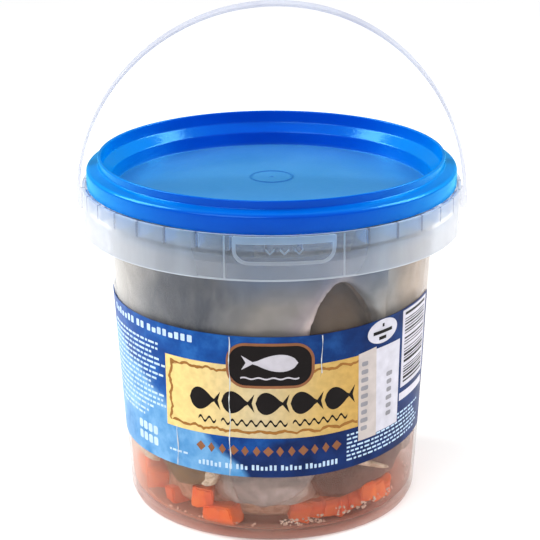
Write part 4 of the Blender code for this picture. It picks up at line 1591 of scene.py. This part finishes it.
def make_die(name, azimuth, height, behind, size, draw, material):
    """A piece of diced carrot with knife-cut faces and slightly worn edges."""
    bm = bmesh.new()
    bmesh.ops.create_cube(bm, size=1.0)
    for vert in bm.verts:
        for axis in range(3):
            vert.co[axis] *= size[axis] * draw.uniform(0.88, 1.1)
    bmesh.ops.bevel(bm, geom=bm.edges[:], offset=CARROT_EDGE, segments=2, affect="EDGES")
    bmesh.ops.subdivide_edges(bm, edges=bm.edges[:], cuts=3, use_grid_fill=True)
    spin = Matrix.Rotation(math.radians(azimuth + draw.uniform(-CARROT_SPIN, CARROT_SPIN)), 4, "Z")
    tilt = Matrix.Rotation(math.radians(draw.uniform(-CARROT_TILT, CARROT_TILT)), 4, "Y")
    depth = size[1] * 0.55 + 0.3 + behind
    place = direction(azimuth) * (inside_limit(height) - depth)
    place.z = height
    bmesh.ops.transform(bm, matrix=Matrix.Translation(place) @ spin @ tilt, verts=bm.verts)
    points = [press(vert.co + uneven_shift(vert.co, 0.5, 1.8)) for vert in bm.verts]
    return food_from_bmesh(name, bm, points, material)


def skin_look(name, dark, light, tint, stretch=(1, 1, 2.5)):
    """Herring skin: slate and silver in soft bands, wet, with fine scale marks."""
    n = Nodes(name)
    band = n.noise(42, 5, stretch, 0.6)
    shade = n.ramp(band, [(0.3, srgb(*dark)), (0.52, srgb(*light)), (0.72, srgb(*tint))])
    fleck = n.ramp(n.noise(380, 4), [(0.35, 0.78), (0.6, 1.06)])
    n.color(n.mix(1.0, shade, fleck, "MULTIPLY"))
    n.rough(0.28, 0.5, 200)
    scales = n.add("ShaderNodeTexVoronoi", Vector=n.place(), Scale=700.0)
    n.bump(n.plus(scales.outputs["Distance"], n.noise(150, 4)), 0.35, 0.0005)
    return n.material


def flesh_look(name, pale, warm, grain):
    """Herring flesh: pearly, with warmer patches and fine dark flecks."""
    n = Nodes(name)
    patch = n.noise(75, 5, None, 0.6)
    shade = n.ramp(patch, [(0.3, srgb(*warm)), (0.6, srgb(*pale))])
    fleck = n.ramp(n.noise(430, 5, (1, 1, 2)), [(0.38, srgb(*grain)), (0.56, (1, 1, 1))])
    n.color(n.mix(0.55, shade, fleck, "MULTIPLY"))
    n.rough(0.35, 0.55, 180)
    n.subsurface(0.1, (0.0015, 0.0008, 0.0006))
    n.bump(n.noise(260, 5), 0.5, 0.0006)
    return n.material


def fillet_finish(n, shade, grain_strength):
    """Give a fish colour its fine grain, wet shine and soft relief."""
    fleck = n.ramp(n.noise(240, 3), [(0.34, 0.8), (0.62, 1.06)])
    n.color(n.mix(grain_strength, shade, fleck, "MULTIPLY"))
    n.rough(0.32, 0.52, 180)
    n.bump(n.noise(160, 3), 0.3, 0.0005)


def front_flap_look():
    """The long fillet behind the front: slate back, then silver, and a pinkish cut edge at its right."""
    n = Nodes("front_flap_look")
    slant = n.map(n.axis("Z"), 0.07, 0.084, 0.0, -10.0)
    drift = n.varied(-5.0, 5.0, 70, 4)
    plain = n.plus(n.azimuth(), slant)
    across = n.plus(plain, drift)
    back = n.ramp(n.map(across, -95.0, -15.0), [
        (0.0, srgb(210, 206, 200)),
        (0.3, srgb(186, 182, 176)),
        (0.46, srgb(140, 142, 144)),
        (0.58, srgb(78, 85, 97)),
        (0.86, srgb(54, 63, 78)),
        (0.96, srgb(92, 97, 104)),
        (1.0, srgb(112, 114, 117)),
    ])
    streak = n.ramp(n.noise(90, 5, (1.6, 1.6, 0.5), 0.65), [(0.45, 0.0), (0.7, 0.34)])
    back = n.mix(streak, back, srgb(150, 152, 152))
    side = n.ramp(n.map(n.plus(plain, n.times(drift, 0.15)), -15.0, 45.0), [
        (0.0, srgb(112, 114, 117)),
        (0.12, srgb(140, 137, 133)),
        (0.3, srgb(146, 143, 142)),
        (0.4, srgb(162, 153, 158)),
        (0.46, srgb(226, 210, 208)),
        (0.51, srgb(246, 230, 218)),
        (0.6, srgb(160, 158, 158)),
        (0.75, srgb(132, 141, 149)),
        (0.9, srgb(158, 161, 162)),
        (1.0, srgb(182, 178, 172)),
    ])
    shade = n.mix(n.map(across, -15.2, -14.8), back, side)
    # Towards its top near the collar the slate turns blue: painted blue light from the lid
    high = n.times(n.map(n.axis("Z"), 0.077, 0.086), n.map(across, -30.0, -15.0))
    shade = n.mix(n.times(high, 0.8), shade, srgb(68, 98, 134))
    fillet_finish(n, shade, 0.7)
    return n.material


def tan_flap_look():
    """The fillet at the right: bluish grey, and sandy towards the side."""
    n = Nodes("tan_flap_look")
    across = n.plus(n.azimuth(), n.varied(-6.0, 6.0, 70, 4))
    shade = n.ramp(n.map(across, 30.0, 90.0), [
        (0.0, srgb(118, 124, 130)),
        (0.2, srgb(150, 156, 160)),
        (0.4, srgb(162, 152, 140)),
        (0.6, srgb(186, 168, 148)),
        (1.0, srgb(166, 156, 144)),
    ])
    fillet_finish(n, shade, 0.6)
    return n.material


def gherkin_look(name, dark, light):
    """Pickled gherkin: dull olive with darker veins and pale warts."""
    n = Nodes(name)
    shade = n.two_tone(n.noise(60, 5, (1, 1, 0.5)), srgb(*dark), srgb(*light))
    wart = n.ramp(n.noise(300, 2), [(0.55, 1.0), (0.72, 1.25)])
    n.color(n.mix(1.0, shade, wart, "MULTIPLY"))
    n.rough(0.35, 0.5, 150)
    n.bump(n.noise(300, 3), 0.4, 0.0006)
    return n.material


def carrot_look():
    """Cooked carrot: strong orange, lighter where it is grainy."""
    n = Nodes("carrot_look")
    n.color(n.two_tone(n.noise(160, 5), srgb(236, 82, 2), srgb(248, 122, 22)))
    n.rough(0.35, 0.55, 300)
    n.subsurface(0.15, (0.003, 0.0012, 0.0005))
    n.bump(n.noise(700, 4), 0.5, 0.0003)
    return n.material


def marinade_look(name, thickness, edge_glow):
    """Cloudy marinade: partly see-through, pinkish brown low down and bluer grey higher up, with painted
    light near the floor and painted blue light from the lid high up.

    The outer layer has a sheen towards the sides, painted stronger and paler on the left than on the right.
    The inner ones fade out there.
    """
    n = Nodes(name)
    up = n.map(n.axis("Z"), 0.0, 0.1)
    # Pinkish brown, painted paler near the floor as light from below, and bluer grey high up as painted blue
    # light from the lid
    tone = n.ramp(up, [
        (0.0, srgb(248, 196, 174)),
        (0.12, srgb(222, 156, 132)),
        (0.25, srgb(196, 142, 124)),
        (0.6, srgb(166, 160, 154)),
        (0.85, srgb(146, 160, 178)),
    ])
    glow = n.ramp(up, [
        (0.0, srgb(250, 196, 168)),
        (0.16, srgb(246, 200, 172)),
        (0.3, srgb(238, 222, 204)),
        (0.6, srgb(212, 211, 208)),
    ])
    up_part = n.map(up, 0.15, 0.6)
    facing = n.facing()
    cloud = n.varied(0.75 * thickness, 1.2 * thickness, 48)
    dense = n.times(cloud, n.map(up, 0.1, 0.65, 1.0, 0.5))
    clear = n.add("ShaderNodeBsdfTransparent", Color=(0.99, 0.965, 0.95, 1))
    if edge_glow:
        # Painted light: the sheen is stronger and paler on the left than on the right
        side = n.map(n.azimuth(), -40.0, 50.0, 0.9 * edge_glow, 0.5 * edge_glow)
        right_glow = n.mix(up_part, srgb(206, 150, 132), srgb(196, 180, 164))
        glow = n.mix(n.map(n.azimuth(), 0.0, 50.0), glow, right_glow)
        edge = n.times(n.math("POWER", facing, 2.0), side)
        body = n.blend(dense, clear, n.milk(tone, 0.4))
        n.surface(n.blend(edge, body, n.milk(glow, 0.4)))
    else:
        cover = n.times(dense, n.map(facing, 0.35, 0.8, 1.0, 0.0))
        n.surface(n.blend(cover, clear, n.milk(tone, 0.4)))
    return n.material


def make_marinade():
    """The liquid: a body that reaches just into the wall, with cloudier layers nested inside it."""
    for number, (depth, thickness, edge_glow) in enumerate(MURK_LAYERS):
        top = MARINADE_TOP - depth * MARINADE_SINK
        floor = FLOOR_TOP + max(depth, -0.05)
        profile = [(0, top)]
        heights = [top, 60, 30, 3 * CORNER_TOP + depth, 1.2 * CORNER_TOP + floor]
        profile += [(wall_inner(z) - depth, z) for z in heights]
        profile += [(wall_inner(floor) - depth - CORNER_TOP, floor), (0, floor)]
        layer = turned(f"marinade_{number}", rounded(profile, MARINADE_ROUNDING), MARINADE_SIDES)
        look = marinade_look(f"marinade_look_{number}", thickness, edge_glow)
        finish_piece(layer, look, "bucket", SMOOTH_SOFT)


def make_food():
    """The heap: a core, eight wound fillets, flaps of fish, a dark sheet of painted shade at the lower right,
    gherkins, carrot and grains of spice.
    """
    slate = skin_look("skin_slate_look", (52, 60, 72), (98, 108, 120), (150, 158, 166))
    silver = skin_look("skin_silver_look", (118, 116, 116), (164, 160, 156), (196, 190, 182))
    tan = skin_look("skin_tan_look", (126, 112, 98), (160, 146, 130), (196, 182, 162))
    low = skin_look("skin_low_look", (108, 96, 92), (144, 128, 122), (176, 160, 154))
    # A dark reddish-brown look for the sheet of painted shade behind the carrots
    maroon = skin_look("maroon_shade_look", (36, 16, 12), (72, 40, 34), (118, 88, 78), (1, 1, 1))
    front = front_flap_look()
    sandy = tan_flap_look()
    cream = flesh_look("flesh_cream_look", (232, 220, 198), (214, 190, 162), (150, 130, 110))
    taupe = gherkin_look("gherkin_taupe_look", (76, 60, 44), (122, 102, 80))
    olive = gherkin_look("gherkin_olive_look", (82, 54, 12), (126, 92, 32))
    carrot = carrot_look()

    side = [(CORE_RADIUS_TOP, CORE_TOP), (CORE_RADIUS_BOTTOM, CORE_BOTTOM)]
    core_profile = [(0, CORE_TOP)] + side + [(0, CORE_BOTTOM)]
    core = turned("heap_core", rounded(core_profile, CORE_ROUNDING), CORE_SIDES)
    add_food(core, (cream,))
    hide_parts("rollmops")

    looks = {"slate": slate, "silver": silver, "tan": tan}
    length = FILLING_LENGTH
    filling_profile = [(0, length), (FILLING_RADIUS, length), (FILLING_RADIUS, 0), (0, 0)]
    for number, (azimuth, bottom, top, seam, skin) in enumerate(ROLLS):
        make_roll(f"roll_{number}", azimuth, bottom, top, seam, looks[skin], cream)
        place = direction(azimuth) * ROLL_RING
        place.z = (top + bottom) / 2 + length / 2 - length
        filling = turned(f"roll_filling_{number}", rounded(filling_profile, FILLING_ROUNDING), FILLING_SIDES)
        filling.data.transform(Matrix.Translation(place * MM))
        add_food(filling, (olive,))

    make_gherkin(taupe)
    # Thickness, width of the round edge, look, seed, and how much deeper it lies behind the wall
    make_pressed("gherkin_lower", GHERKIN_FACE, 4.0, 1.3, olive, 5.0)
    make_pressed("gherkin_lower_rim", GHERKIN_RIM, 3.6, 1.0, cream, 6.0, 0.4)

    make_pressed("flap_front", FRONT_FLAP, 3.2, 1.2, front, 1.0)
    make_pressed("flap_tan", TAN_FLAP, 3.2, 3.0, sandy, 7.0, 0.6)
    make_pressed("flap_streak", STREAK, 1.0, 0.8, cream, 8.0, 0.9)
    make_pressed("flap_low", LOW_FLAP, 3.0, 1.2, low, 2.0)
    make_pressed("flap_left", LEFT_FLAP, 3.0, 4.0, cream, 3.0)
    # The dark sheet of painted shade behind the carrots
    make_pressed("shade_sheet_right", RIGHT_FLAP, 3.0, 2.5, maroon, 4.0, 2.2)

    for number, (outline, skin) in enumerate(BACK_FLAPS):
        make_pressed(f"flap_back_{number}", outline, 3.4, 4.0, looks[skin], 10.0 + number, 0.3)
    make_grains(flesh_look("grain_look", (236, 220, 204), (214, 190, 168), (190, 160, 140)))

    draw = random.Random(11)
    number = 0
    for start_azimuth, end_azimuth, start_z, end_z, count, behind in CARROT_RUNS:
        for index in range(count):
            along = index / max(count - 1, 1)
            azimuth = start_azimuth + (end_azimuth - start_azimuth) * along
            height = start_z + (end_z - start_z) * along + draw.uniform(-CARROT_RISE, CARROT_RISE)
            size = [CARROT_SIZE * draw.uniform(0.85, 1.15) for _ in range(3)]
            make_die(f"carrot_{number}", azimuth, height, behind, size, draw, carrot)
            number += 1


def make_grains(material):
    """Small pale grains of spice that have sunk to the bottom, in one piece."""
    draw = random.Random(23)
    bm = bmesh.new()
    for start, end, low, high, count in GRAIN_RUNS:
        for _ in range(count):
            size = draw.uniform(0.25, 0.6)
            height = draw.uniform(low, high)
            place = direction(draw.uniform(start, end)) * (inside_limit(height) - size - 0.1)
            place.z = height
            spin = Matrix.Rotation(draw.uniform(0, math.tau), 4, "Z")
            shape = Matrix.Diagonal((size, size * 0.6, size * draw.uniform(0.5, 0.9), 1))
            matrix = Matrix.Translation(place) @ spin @ shape
            bmesh.ops.create_icosphere(bm, subdivisions=2, radius=1, matrix=matrix)
    points = [press(vert.co + uneven_shift(vert.co, 0.25, 0.6)) for vert in bm.verts]
    food_from_bmesh("spice_grains", bm, points, material)


# Scene


def make_camera():
    """The camera, placed as in the photograph."""
    data = bpy.data.cameras.new("camera")
    data.lens = CAMERA_LENS
    data.sensor_width = CAMERA_SENSOR
    camera = bpy.data.objects.new("camera", data)
    bpy.context.scene.collection.objects.link(camera)
    tilt = Matrix.Rotation(math.radians(90 - CAMERA_PITCH), 4, "X")
    roll = Matrix.Rotation(CAMERA_ROLL, 4, "Z")
    camera.matrix_world = Matrix.Translation(CAMERA_PLACE) @ tilt @ roll
    bpy.context.scene.camera = camera


def make_side_light(name, place):
    """A soft rectangular light above one side, aimed at the bucket."""
    data = bpy.data.lights.new(name, "AREA")
    data.shape = "RECTANGLE"
    data.size, data.size_y = SIDE_LIGHT_SIZE
    data.energy = SIDE_LIGHT_POWER
    light = bpy.data.objects.new(name, data)
    bpy.context.scene.collection.objects.link(light)
    aim = Vector(SIDE_LIGHT_TARGET) - Vector(place)
    light.matrix_world = Matrix.Translation(place) @ aim.to_track_quat("-Z", "Y").to_matrix().to_4x4()


def make_studio():
    """A pale floor, an even white surround, two soft lights above the sides and a soft key light."""
    world = bpy.data.worlds.new("studio")
    world.use_nodes = True
    world.node_tree.nodes["Background"].inputs["Color"].default_value = (1, 1, 1, 1)
    world.node_tree.nodes["Background"].inputs["Strength"].default_value = SURROUND_STRENGTH
    bpy.context.scene.world = world
    n = Nodes("floor_look")
    n.color(n.ramp(n.noise(6, 2), [(0.4, 0.94), (0.6, 0.96)]))
    n.set(n.shader, "Roughness", 0.7)
    floor = turned("floor", [(0, 0), (FLOOR_RADIUS, 0)], 64)
    floor.data.materials.append(n.material)
    for name, place in SIDE_LIGHTS:
        make_side_light(name, place)
    data = bpy.data.lights.new("soft_key", "SUN")
    data.energy = KEY_STRENGTH
    data.angle = math.radians(KEY_ANGLE)
    key = bpy.data.objects.new("soft_key", data)
    bpy.context.scene.collection.objects.link(key)
    key.rotation_euler = Vector(KEY_DIRECTION).to_track_quat("-Z", "Y").to_euler()
    scene = bpy.context.scene
    scene.view_settings.view_transform = "Standard"
    scene.cycles.transparent_max_bounces = CLEAR_BOUNCES


def main():
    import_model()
    make_camera()
    make_studio()
    make_bucket(clear_plastic())
    make_lid(blue_plastic())
    make_handle(milky_plastic())
    make_label()
    make_food()
    make_marinade()


main()
